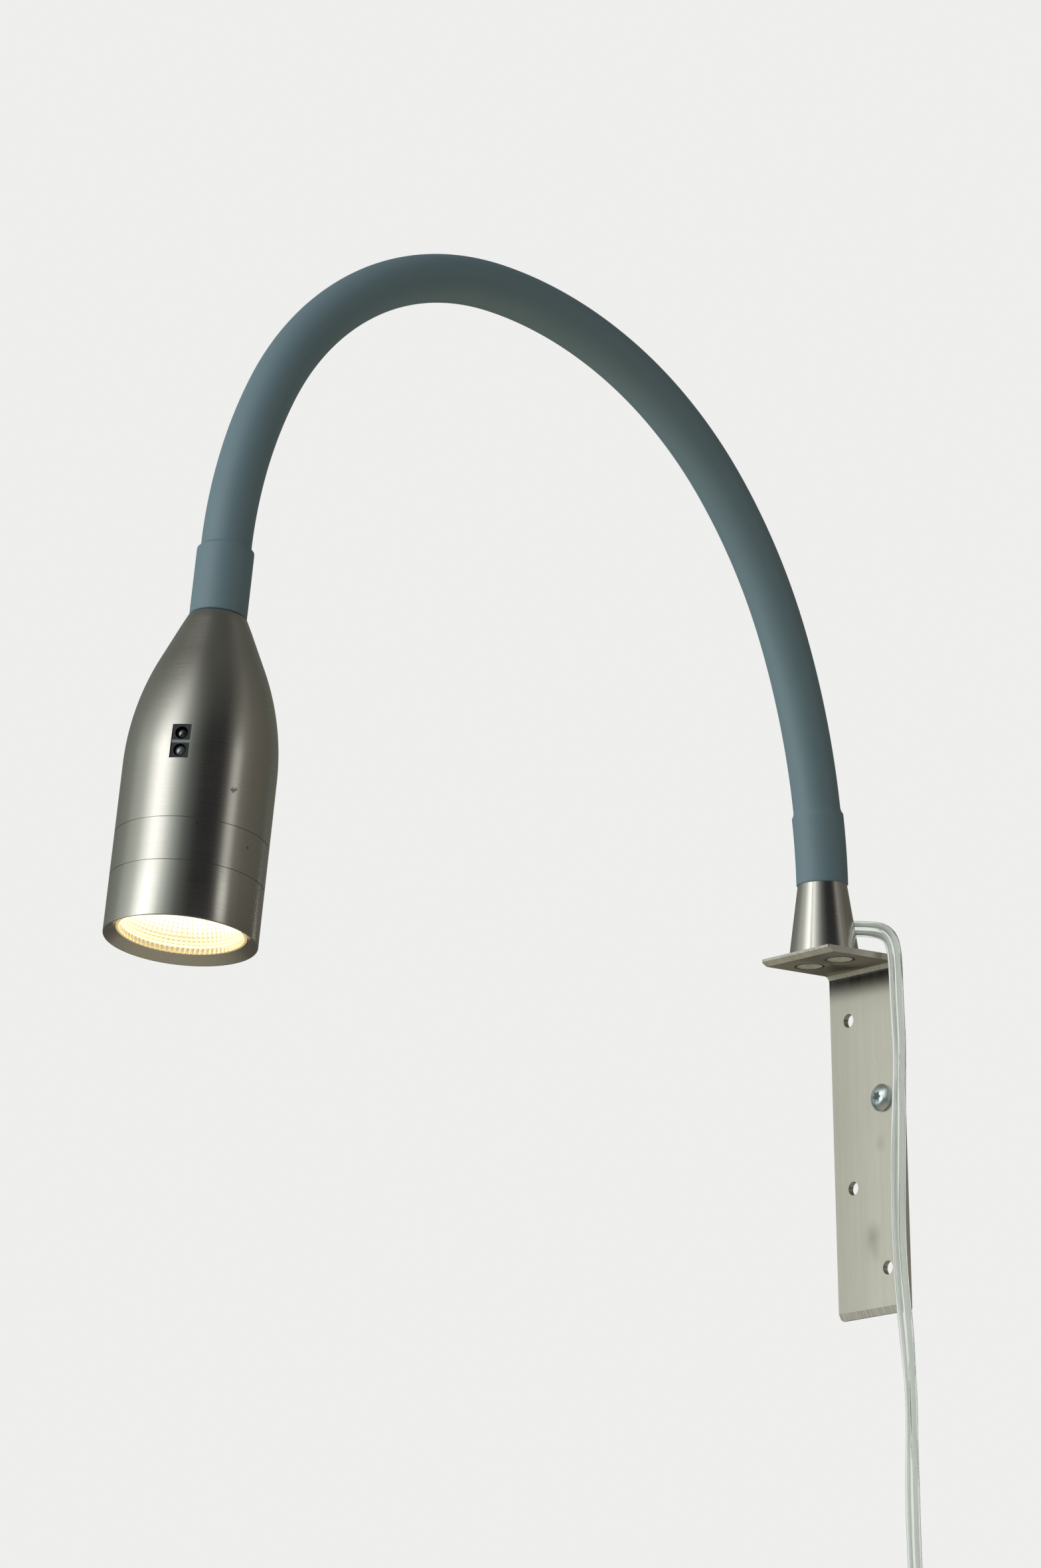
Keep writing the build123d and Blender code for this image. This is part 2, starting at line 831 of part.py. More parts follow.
def driver_board():
    middle = driver_start + driver_length / 2
    return Pos(0, -driver_offset, middle) * Box(driver_width, driver_thickness, driver_length)


def on_driver(x, distance):
    return Pos(x, driver_top(), driver_start + distance) * Rot(-90, 0, 0)


def driver_parts():
    """Terminal block, choke, capacitor and driver chip, each standing on the board's upper face."""
    width, height, depth = terminal_size
    terminal = on_driver(0, terminal_start + depth / 2) * Pos(0, 0, height / 2) * Box(width, depth, height)
    x, distance = choke_place
    choke = on_driver(x, distance) * rod(choke_radius, 0, choke_height)
    x, distance = capacitor_place
    capacitor = on_driver(x, distance) * rod(capacitor_radius, 0, capacitor_height)
    x, distance = chip_place
    width, height, depth = chip_size
    chip = on_driver(x, distance) * Pos(0, 0, height / 2) * Box(width, depth, height)
    return Compound(children=[terminal, choke, capacitor, chip])


def sensor_face_radius():
    half = sensor_width / 2
    return math.sqrt(head_radius ** 2 - half ** 2) - sensor_face_recess


def sensor_board_face():
    return head_bore_radius - sensor_board_depth


def sensor_cells(radius):
    """The two round cells along the window, upper and lower, as bars from the board outwards."""
    cells = []
    for side in (-1, 1):
        cells.append(Pos(0, 0, side * sensor_cell_spacing / 2) * Rot(0, 90, 0) * rod(
            radius, sensor_board_face(), head_radius
        ))
    return cells


def sensor_frame():
    """Black frame that fills the window, with a flange behind the wall and a hole for each cell."""
    back = sensor_board_face()
    face = sensor_face_radius()
    flange = sensor_place() * Pos((head_radius + back) / 2, 0, 0) * Box(
        head_radius - back, sensor_flange_width, sensor_flange_height
    )
    flange = flange & head_blank(head_wall + sensor_fit, head_roof, roof_radius(), shell_length)
    frame = Pos((face + back) / 2, 0, 0) * Box(
        face - back, sensor_width - 2 * sensor_fit, sensor_height - 2 * sensor_fit
    )
    frame = sensor_place() * frame + flange
    for cell in sensor_cells(sensor_cell_diameter / 2 + sensor_fit):
        frame = frame - sensor_place() * cell
    bar = Pos(face - sensor_bar_depth / 2, 0, 0) * Box(
        sensor_bar_depth, sensor_width, sensor_bar_height + 2 * sensor_fit
    )
    return frame - sensor_place() * bar


def sensor_cell(side):
    """A cell with a domed tip, level with the frame's face."""
    radius = sensor_cell_diameter / 2
    tip = sensor_face_radius() - 0.1
    body = rod(radius, sensor_board_face(), tip - radius) + Pos(0, 0, tip - radius) * Sphere(radius)
    body = body & rod(2 * radius, sensor_board_face(), head_radius)
    return sensor_place() * Pos(0, 0, side * sensor_cell_spacing / 2) * Rot(0, 90, 0) * body


def sensor_bar():
    face = sensor_face_radius()
    return sensor_place() * Pos(face - sensor_bar_depth / 2, 0, 0) * Box(
        sensor_bar_depth, sensor_width - 4 * sensor_fit, sensor_bar_height
    )


def sensor_board():
    thickness, width, height = sensor_board_size
    return sensor_place() * Pos(sensor_board_face() - thickness / 2, 0, 0) * Box(thickness, width, height)


def head_leads():
    """Leads from the driver to the light source, and the sensor's cable down to the driver board."""
    pieces = []
    low = driver_start + driver_length - led_lead_overlap
    for side in (-1, 1):
        lead = rod(led_lead_diameter / 2, low, led_face() - wire_clearance)
        pieces.append(Pos(side * led_lead_spacing / 2, led_lead_y(), 0) * lead)
    angle = math.radians(90 - sensor_angle)
    back = sensor_board_face() - sensor_board_size[0]
    near = back - sensor_cable_inset
    height = sensor_from_top + sensor_cable_offset
    path = FilletPolyline(
        (back * math.cos(angle), back * math.sin(angle), height),
        (near * math.cos(angle), near * math.sin(angle), height),
        (near * math.cos(angle), driver_top(), height),
        radius=sensor_cable_bend,
    )
    section = Plane(origin=path @ 0, z_dir=path % 0) * Circle(sensor_cable_diameter / 2)
    pieces.append(sweep(section, path=path))
    return Compound(children=pieces)


# ---------------------------------------------------------------- cord

def corner_radii(points):
    """Radius of the arc at each inner point: 0.45 of the shorter run over the tangent of half the turn."""
    spots = [Vector(*point) for point in points]
    radii = []
    for before, here, after in zip(spots, spots[1:], spots[2:]):
        run_in = here - before
        run_out = after - here
        half_turn = math.radians(run_in.get_angle(run_out)) / 2
        radii.append(0.45 * min(run_in.length, run_out.length) / math.tan(half_turn))
    return radii


def cord_path():
    return FilletPolyline(*cord_route, radius=corner_radii(cord_route))


def power_cord():
    path = cord_path()
    section = Plane(origin=path @ 0, z_dir=path % 0) * Circle(cord_diameter / 2)
    return sweep(section, path=path)


def cord_tail():
    """End of the cord inside the cone, under the crimps."""
    turn = Rot(0, 0, cord_exit_angle) * Rot(0, 90, 0)
    low, high = -cord_back_overrun, cord_start_radius
    return Pos(0, cone_y, cord_exit_z) * turn * rod(cord_diameter / 2, low, high)


def coil_outer_radius():
    """Radius of the coil's outer turn, from the length of cord that is left for it."""
    straight = 2 * cord_diameter
    inside = cord_back_overrun + cord_start_radius
    wound = cord_length - cord_path().length - inside - straight
    mean = wound / (2 * math.pi * coil_turns)
    return mean + coil_pitch * coil_turns / 4


def coil_point(turn):
    """Point on the wound line after a number of turns: inwards in front, outwards behind."""
    outer = coil_outer_radius_value
    half = coil_turns / 2
    depth = turn if turn <= half else coil_turns - turn
    radius = outer - coil_pitch * depth
    climb = min(max((turn - half) * 4 + 1, 0), 2) / 2
    climb = climb * climb * (3 - 2 * climb)
    angle = -2 * math.pi * turn
    x = coil_centre_x + radius * math.cos(angle)
    z = coil_centre_z + radius * math.sin(angle)
    return Vector(x, coil_front_y + coil_pitch * climb, z)


def coil_heading(turn):
    small = 1e-4
    if abs(turn - coil_turns / 2) < small:
        ahead, behind = coil_point(turn + small), coil_point(turn - small)
        return (ahead - behind).normalized()
    if turn < small or turn > coil_turns - small:
        return Vector(0, 0, -1)
    return (coil_point(turn + small) - coil_point(turn - small)).normalized()


def two_arcs(start, start_heading, end, end_heading):
    """Two arcs that leave the start and reach the end along the given headings."""
    chord = end - start
    total = start_heading + end_heading
    a = 2 * (1 - start_heading.dot(end_heading))
    b = 2 * chord.dot(total)
    c = -chord.dot(chord)
    reach = -c / b if abs(a) < 1e-9 else (-b + math.sqrt(b * b - 4 * a * c)) / (2 * a)
    middle = (start + start_heading * reach + end - end_heading * reach) * 0.5
    first = TangentArc(start, middle, tangent=start_heading)
    heading = first % 1
    return [first, TangentArc(middle, end, tangent=heading)]


coil_outer_radius_value = coil_outer_radius()
coil_centre_x = cord_route[-1][0] - coil_outer_radius_value
coil_centre_z = cord_route[-1][2] - cord_diameter
coil_quarters = 4 * coil_turns


def coil_path():
    top = coil_point(0)
    end = coil_point(coil_turns)
    drop = Vector(0, 0, -cord_diameter)
    edges = [Line(top - drop, top)]
    for quarter in range(coil_quarters):
        a, b = quarter / 4, (quarter + 1) / 4
        edges += two_arcs(coil_point(a), coil_heading(a), coil_point(b), coil_heading(b))
    edges.append(Line(end, end + drop))
    return Wire(edges)


def cord_coil():
    path = coil_path()
    section = Plane(origin=path @ 0, z_dir=path % 0) * Circle(cord_diameter / 2)
    return sweep(section, path=path)


def cord_tie():
    """Flat band round all the turns at the side away from the cord."""
    cord_radius = cord_diameter / 2
    inner_radius = coil_outer_radius_value - coil_pitch * coil_turns / 2
    near = inner_radius - cord_radius - tie_gap - tie_height / 10
    far = coil_outer_radius_value + cord_radius + tie_gap
    depth = coil_pitch + cord_diameter + 2 * tie_gap
    band = Rectangle(far - near + 2 * tie_thickness, depth + 2 * tie_thickness)
    band = fillet(band.vertices(), tie_thickness)
    band = extrude(band - Rectangle(far - near, depth), tie_height)
    x = coil_centre_x - (near + far) / 2
    return Pos(x, coil_front_y + coil_pitch / 2, coil_centre_z - tie_height / 2) * band


def plug_top():
    end = coil_point(coil_turns)
    return Pos(end.X, end.Y, end.Z - cord_diameter) * Rot(180, 0, 0)


def cord_plug():
    """Small two-pin plug with a tapered neck."""
    neck = Pos(0, 0, plug_relief_length / 2) * Cone(cord_diameter / 2, plug_thickness / 2, plug_relief_length)
    outline = fillet(Rectangle(plug_width, plug_thickness).vertices(), plug_corner)
    body = Pos(0, 0, plug_relief_length) * extrude(outline, plug_length)
    plug = neck + body
    for side in (-1, 1):
        low = plug_relief_length + plug_length / 2
        plug = plug - Pos(side * pin_spacing / 2, 0, 0) * rod(pin_radius, low, 2 * low)
    return plug_top() * plug


def plug_pins():
    low = plug_relief_length + plug_length / 2
    high = plug_relief_length + plug_length + pin_length
    pins = []
    for side in (-1, 1):
        pins.append(plug_top() * Pos(side * pin_spacing / 2, 0, 0) * rod(pin_radius, low, high))
    return Compound(children=pins)


def least_coil_gap():
    """Least distance between turns of the coil, from wall to wall, measured on points along it."""
    path = coil_path()
    count = 60 * coil_turns
    points = [path @ (index / count) for index in range(count + 1)]
    spacing = path.length / count
    skip = int(math.pi * cord_diameter * 2 / spacing)
    least = math.inf
    for index, here in enumerate(points):
        for other in points[index + skip:]:
            least = min(least, (here - other).length)
    return least - cord_diameter


# ---------------------------------------------------------------- all pieces

def head_pieces():
    return {
        "neck_sleeve_tail": neck_sleeve_tail(),
        "neck_ferrule_tail": neck_ferrule_tail(),
        "neck_core_tail": neck_core_tail(),
        "neck_wires_tail": neck_wires_tail(),
        "ferrule_nut": ferrule_nut(),
        "head_shell": head_shell(),
        "mid_ring": mid_ring(),
        "front_bezel": front_bezel(),
        "heat_sink": heat_sink(),
        "led_board": led_board(),
        "led_chip": led_chip(),
        "board_screws": board_screws(),
        "reflector": reflector(),
        "driver_board": driver_board(),
        "driver_parts": driver_parts(),
        "sensor_frame": sensor_frame(),
        "sensor_receiver": sensor_cell(-1),
        "sensor_emitter": sensor_cell(1),
        "sensor_bar": sensor_bar(),
        "sensor_board": sensor_board(),
        "head_leads": head_leads(),
    }


def fixed_pieces():
    return {
        "wall_bracket": wall_bracket(),
        "wall_screw": wall_screw(),
        "flange_screws": flange_screws(),
        "base_cone": base_cone(),
        "cord_grommet": cord_grommet(),
        "neck_ferrule_base": neck_ferrule_base(),
        "neck_sleeve_base": neck_sleeve_base(),
        "neck_core_base": neck_core_base(),
        "neck_wires_base": neck_wires_base(),
        "wire_splices": wire_splices(),
        "cord_tail": cord_tail(),
        "power_cord": power_cord(),
        "cord_coil": cord_coil(),
        "cord_tie": cord_tie(),
        "cord_plug": cord_plug(),
        "plug_pins": plug_pins(),
    }


def neck_pieces():
    pieces = {}
    for index in range(len(neck_turns)):
        number = index + 1
        pieces[f"neck_sleeve_{number}"] = neck_sleeve(index)
        pieces[f"neck_core_{number}"] = neck_core(index)
        pieces[f"neck_wires_{number}"] = neck_wires(index)
    return pieces


def main():
    os.makedirs("parts", exist_ok=True)
    pieces = fixed_pieces()
    pieces.update(neck_pieces())
    for name, piece in head_pieces().items():
        pieces[name] = head_place * piece
    for name, piece in pieces.items():
        export_step(piece, f"parts/{name}.step")
    print("pieces", len(pieces))
    print("cord corner radii", [round(radius, 1) for radius in corner_radii(cord_route)])
    path = cord_path()
    section_area = math.pi * cord_diameter ** 2 / 4
    print("cord length", round(path.length, 1), "volume / (section x length)",
          round(pieces["power_cord"].volume / (section_area * path.length), 4))
    wound = coil_path()
    print("coil length", round(wound.length, 1), "outer radius", round(coil_outer_radius_value, 2),
          "volume / (section x length)",
          round(pieces["cord_coil"].volume / (section_area * wound.length), 4))
    print("least gap of the coil to itself", round(least_coil_gap(), 2))
    whole = cord_back_overrun + cord_start_radius + path.length + wound.length
    print("cord in all", round(whole, 1))
    for index, (y, z, heading) in enumerate(knuckles):
        print("knuckle", index, round(y, 2), round(z, 2), round(math.degrees(heading), 2))


main()
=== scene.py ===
"""Gooseneck wall sconce: its finishes, smooth neck sleeve, turned head, twin cord, camera and studio.

Metres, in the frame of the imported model: +Z is up, +X runs along the wall and the lamp reaches out to -Y.
"""
import math

import bpy
from bpy.props import BoolProperty, FloatProperty, FloatVectorProperty, IntProperty, PointerProperty
from mathutils import Matrix, Vector


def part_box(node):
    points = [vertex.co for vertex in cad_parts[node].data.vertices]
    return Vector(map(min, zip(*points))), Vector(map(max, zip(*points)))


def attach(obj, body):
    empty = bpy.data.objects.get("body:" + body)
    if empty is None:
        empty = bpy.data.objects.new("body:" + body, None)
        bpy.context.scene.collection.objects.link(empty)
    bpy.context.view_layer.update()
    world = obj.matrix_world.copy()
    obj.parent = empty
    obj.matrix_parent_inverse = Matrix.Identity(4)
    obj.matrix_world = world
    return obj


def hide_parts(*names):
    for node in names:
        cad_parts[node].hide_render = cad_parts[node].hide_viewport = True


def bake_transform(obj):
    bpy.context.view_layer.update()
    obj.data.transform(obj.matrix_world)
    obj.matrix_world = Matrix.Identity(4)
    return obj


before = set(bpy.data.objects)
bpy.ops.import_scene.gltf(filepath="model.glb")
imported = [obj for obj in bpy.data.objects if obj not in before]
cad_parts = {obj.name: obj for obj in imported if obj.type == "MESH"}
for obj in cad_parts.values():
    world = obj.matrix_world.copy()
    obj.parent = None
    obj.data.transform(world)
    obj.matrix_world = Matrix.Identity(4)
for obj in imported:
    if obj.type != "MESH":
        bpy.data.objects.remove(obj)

bl_info = {
    "name": "Gooseneck wall sconce",
    "version": (1, 0, 0),
    "blender": (4, 5, 0),
    "location": "3D View > Sidebar > Sconce",
    "description": "Dresses the packed sconce: sleeve, head, lamp, bracket and cord",
    "category": "Object",
}

MM = 0.001

# Line of the neck, as it is bent in rest: degrees turned by the bend at the cone and by seven equal lengths.
BASE_FERRULE = 22.5 * MM
TAIL_FERRULE = 21.5 * MM
SLEEVE_LEAD = 3.0 * MM
NECK_EACH = 52.3 * MM
BASE_TURN = 6.5
NECK_TURNS = (13.6, 19.1, 24.2, 22.8, 32.9, 30.9, 20.6)
HEAD_SIDE_TILT = 1.2
# Bodies along the neck, from the bracket through its seven lengths to the head.
NECK_BODIES = ["bracket"] + [f"neck_{k}" for k in range(1, 8)] + ["head"]
# Half of the stretch about the hinge at the cone and at the head; at the other hinges it is half of
# NECK_EACH.
END_REACH = 10 * MM

# Sleeve: its bores, its gap to the head, its rounded ends, its shoulders, and how finely it is built.
BASE_BORE = 6.9 * MM
SLEEVE_BORE = 6.2 * MM
TAIL_BORE = 7.2 * MM
HEAD_GAP = 0.4 * MM
END_ROUND = 0.35 * MM
END_DROP = 0.25 * MM
END_FIRST = 0.12 * MM
SHOULDER = 1.2 * MM
SLEEVE_STEP = 0.9 * MM
SLEEVE_COLUMNS = 72

# Head, along its own axis from the end of the sleeve to the open front.
SHELL_END = 68.3 * MM
RING_END = 81.05 * MM
HEAD_END = 97.5 * MM
NOSE_CONE = 13.8 * MM
NOSE_END = 47.2 * MM
NOSE_ARC = 80.0 * MM
HEAD_WALL = 2.2 * MM
NOSE_TOP_RADIUS = 8.6 * MM
NOSE_CHAMFER = 0.2 * MM
NOSE_STEP = 1.5 * MM
ROOF = 9.0 * MM
FERRULE_BORE = 7.2 * MM
JOINT_SLOT = 0.10 * MM
JOINT_DEPTH = 0.30 * MM
SPIGOT = 6.0 * MM
SPIGOT_SLIP = 0.05 * MM
SPIGOT_WALL = 2.0 * MM
RING_STEP = 0.2 * MM
BEZEL_STEP = 0.6 * MM
RECESS = 2.3 * MM
RECESS_RADIUS = 18.6 * MM
RIM_EDGE = 0.4 * MM
RIM_ROUND = 0.12 * MM
WINDOW_CENTRE = 45.7 * MM
WINDOW_ANGLE = 36.0
WINDOW_DEPTH = 4 * MM
HEAD_COLUMNS = 256
HEAD_SHARP = 25.0

# Heights along the head between which the reflector's facets lie.
FACET_START = 76.75 * MM
FACET_END = 93.6 * MM
# Height at which the reflector's painted glow is whitest, and the painted glow's strength when the lamp is
# lit.
PAINTED_GLOW_DEEP = 86.5 * MM
PAINTED_GLOW_STRENGTH = 0.75

# Small dents in the head: place in the head's own frame, radius and depth of the mark.
DENTS = (
    ((21.64 * MM, 3.95 * MM, 58.2 * MM), 1.0 * MM, 0.75),
    ((21.73 * MM, 3.05 * MM, 57.7 * MM), 0.7 * MM, 0.65),
    ((21.73 * MM, -3.42 * MM, 73.2 * MM), 0.5 * MM, 0.7),
    ((18.17 * MM, 12.4 * MM, 70.0 * MM), 0.35 * MM, 0.5),
)

# Handled places on the plate: distance right of and above its middle, radius, and depth of the smudge.
SMUDGES = (
    (5.5 * MM, -2.3 * MM, 3.0 * MM, 0.24),
    (0.8 * MM, -31.0 * MM, 5.0 * MM, 0.42),
    (2.0 * MM, -36.0 * MM, 3.0 * MM, 0.20),
)

# Painted shade in the countersinks round the two flange screws, as dark rings: how far to each side and out
# from the wall, and the radii at which a ring begins, is full, starts to fade and ends.
FLANGE_SCREW_X = 6.7 * MM
FLANGE_SCREW_Y = -18.4 * MM
SCREW_RING = (3.3 * MM, 3.5 * MM, 4.3 * MM, 5.2 * MM)

# Shaded corner under the flange and the flange's ground front edge: where each begins and is full.
CORNER_SHADE = (43.0 * MM, 50.8 * MM)
FRONT_EDGE = (-30.5 * MM, -30.8 * MM)

# Route of the cord from the cone to the coil, in millimetres.
CORD_ROUTE = (
    (4.93, -12.10, 63.7), (7.51, -8.79, 63.7), (11.4, -7.3, 62.9), (15.0, -7.5, 61.7),
    (18.2, -7.9, 59.5), (20.1, -8.2, 56.0), (20.5, -8.1, 50.0), (20.4, -7.9, 38.0),
    (21.2, -8.0, 24.0), (20.2, -8.2, 7.0), (18.7, -8.0, -12.0), (18.4, -8.2, -32.0),
    (19.0, -8.1, -50.0), (20.9, -8.3, -67.0), (21.6, -8.1, -85.0), (21.0, -8.2, -103.0),
    (20.8, -8.3, -122.0), (21.2, -8.2, -147.0), (21.2, -8.19, -172.0),
)
# Flat coil at its end: turns, outer radius, pitch, points in a turn and lead to the plug, in millimetres.
COIL_TURNS = 8
COIL_RADIUS = 35.11
COIL_PITCH = 5.3
COIL_STEPS = 16
COIL_LEAD = 4.8

# Section of the cord: degrees of arc to each side of a lobe, and a core as a share of its lobe.
LOBE_OPENING = 147
CORE_SHARE = 0.42
CORE_SIDES = 10

# Camera, fitted to the photograph: place, direction in degrees, and lens for a 36 mm long side.
CAMERA_PLACE = (1.37524, -1.35882, -0.33767)
CAMERA_AZIMUTH = 48.5
CAMERA_ELEVATION = 13.175
CAMERA_ROLL = -1.027
CAMERA_LENS = 145.9

# Pale floor: its height, half its side and its own faint light.
FLOOR_HEIGHT = -0.6
FLOOR_HALF = 15.0
FLOOR_EMISSION = 0.62

# Light round the object by the angle to the left of the photograph's camera, in degrees.
STUDIO_WALLS = (
    (-180, (0.17, 0.17, 0.15)),
    (-150, (0.15, 0.145, 0.12)),
    (-125, (0.135, 0.13, 0.105)),
    (-95, (0.165, 0.155, 0.13)),
    (-76, (0.235, 0.228, 0.20)),
    (-50, (0.105, 0.100, 0.090)),
    (-40, (0.020, 0.020, 0.026)),
    (-12, (0.018, 0.018, 0.024)),
    (6, (0.11, 0.12, 0.115)),
    (20, (0.36, 0.40, 0.37)),
    (32, (0.82, 0.87, 0.82)),
    (45, (1.95, 1.96, 1.90)),
    (57, (2.60, 2.59, 2.50)),
    (69, (1.70, 1.71, 1.65)),
    (82, (0.78, 0.81, 0.76)),
    (97, (0.56, 0.59, 0.54)),
    (120, (0.27, 0.29, 0.26)),
    (150, (0.20, 0.21, 0.185)),
    (180, (0.17, 0.17, 0.15)),
)
# Narrow strip of light to the right: where it is and half its width, in degrees, and its colour.
STRIP_ANGLE = -60.0
STRIP_HALF_WIDTH = 8.0
STRIP_GLOW = (1.75, 1.72, 1.60)
# Light from straight below, from below the walls and from above.
FLOOR_GLOW = (0.36, 0.33, 0.25)
LOW_WALL_GLOW = (0.095, 0.090, 0.078)
CEILING_GLOW = (0.110, 0.110, 0.098)


# ---------------------------------------------------------------- settings

class SconceSizes(bpy.types.PropertyGroup):
    """Sizes that a user would change."""

    sleeve_radius: FloatProperty(
        name="Sleeve radius", description="Outside of the sleeve along the neck",
        default=7.3 * MM, min=0.003, max=0.02, unit="LENGTH", precision=4)
    base_radius: FloatProperty(
        name="Base end radius", description="Outside of the sleeve over the lower ferrule",
        default=8.0 * MM, min=0.003, max=0.02, unit="LENGTH", precision=4)
    tail_radius: FloatProperty(
        name="Head end radius", description="Outside of the sleeve over the ferrule at the head",
        default=8.3 * MM, min=0.003, max=0.02, unit="LENGTH", precision=4)
    head_radius: FloatProperty(
        name="Head radius", description="Outside of the turned head",
        default=22.0 * MM, min=0.01, max=0.06, unit="LENGTH", precision=4)
    window_width: FloatProperty(
        name="Window width", description="Width of the sensor's window round the head",
        default=5.5 * MM, min=0.001, max=0.02, unit="LENGTH", precision=4)
    window_height: FloatProperty(
        name="Window height", description="Height of the sensor's window along the head",
        default=10.2 * MM, min=0.001, max=0.03, unit="LENGTH", precision=4)
    cord_core_radius: FloatProperty(
        name="Cord lobe radius", description="Radius of each of the cord's two round lobes",
        default=1.3 * MM, min=0.0005, max=0.003, unit="LENGTH", precision=4)
    cord_core_offset: FloatProperty(
        name="Cord lobe offset", description="From the cord's middle to the middle of a lobe",
        default=1.2 * MM, min=0.0005, max=0.003, unit="LENGTH", precision=4)
    reflector_lobes: IntProperty(
        name="Reflector lobes", description="Number of facet columns round the reflector",
        default=72, min=12, max=120)
    reflector_rows: IntProperty(
        name="Reflector rows", description="Number of facet rows from the neck to the mouth",
        default=16, min=4, max=40)


class SconceColours(bpy.types.PropertyGroup):
    """Colours and strengths that a user would change."""

    head_metal: FloatVectorProperty(
        name="Turned nickel", description="Colour of the head and the cone",
        default=(0.60, 0.59, 0.555), size=3, min=0, max=1, subtype="COLOR")
    bracket_metal: FloatVectorProperty(
        name="Brushed strip", description="Colour of the bent bracket",
        default=(0.60, 0.585, 0.52), size=3, min=0, max=1, subtype="COLOR")
    sleeve: FloatVectorProperty(
        name="Sleeve grey", description="Colour of the smooth sleeve",
        default=(0.270, 0.410, 0.490), size=3, min=0, max=1, subtype="COLOR")
    cord: FloatVectorProperty(
        name="Clear cord", description="Tint of the cord's clear jacket",
        default=(0.95, 0.99, 0.96), size=3, min=0, max=1, subtype="COLOR")
    # Colour of the glow painted on the reflector, which stands in for the lamp's light on it.
    light: FloatVectorProperty(
        name="Warm light", description="Colour of the lit reflector",
        default=(1.0, 0.66, 0.30), size=3, min=0, max=1, subtype="COLOR")
    light_strength: FloatProperty(
        name="Lamp strength", description="Brightness of the light chip",
        default=9.0, min=0, max=200)
    backdrop: FloatVectorProperty(
        name="Backdrop", description="Colour of the pale floor and backdrop",
        default=(0.86, 0.86, 0.85), size=3, min=0, max=1, subtype="COLOR")
    lit: BoolProperty(
        name="Lamp lit", description="Whether the light is on", default=True)


# ---------------------------------------------------------------- shader helpers

class Wire:
    """A number socket; arithmetic on it adds Math nodes to its tree."""

    def __init__(self, tree, socket):
        self.tree = tree
        self.socket = socket

    def __add__(self, other):
        return self.tree.math("ADD", self, other)

    def __radd__(self, other):
        return self.tree.math("ADD", other, self)

    def __sub__(self, other):
        return self.tree.math("SUBTRACT", self, other)

    def __rsub__(self, other):
        return self.tree.math("SUBTRACT", other, self)

    def __mul__(self, other):
        return self.tree.math("MULTIPLY", self, other)

    def __rmul__(self, other):
        return self.tree.math("MULTIPLY", other, self)

    def __truediv__(self, other):
        return self.tree.math("DIVIDE", self, other)

    def __rtruediv__(self, other):
        return self.tree.math("DIVIDE", other, self)

    def __pow__(self, other):
        return self.tree.math("POWER", self, other)

    def __rpow__(self, other):
        return self.tree.math("POWER", other, self)

    def sine(self):
        return self.tree.math("SINE", self)

    def cosine(self):
        return self.tree.math("COSINE", self)

    def absolute(self):
        return self.tree.math("ABSOLUTE", self)

    def at_most(self, limit):
        return self.tree.math("MINIMUM", self, limit)

    def angle_over(self, other):
        """The angle in radians whose tangent is this number over the other."""
        return self.tree.math("ARCTAN2", self, other)


class Added:
    """A node just added, whose outputs come as wires."""

    def __init__(self, tree, node):
        self.tree = tree
        self.node = node

    def out(self, key):
        return Wire(self.tree, self.node.outputs[key])


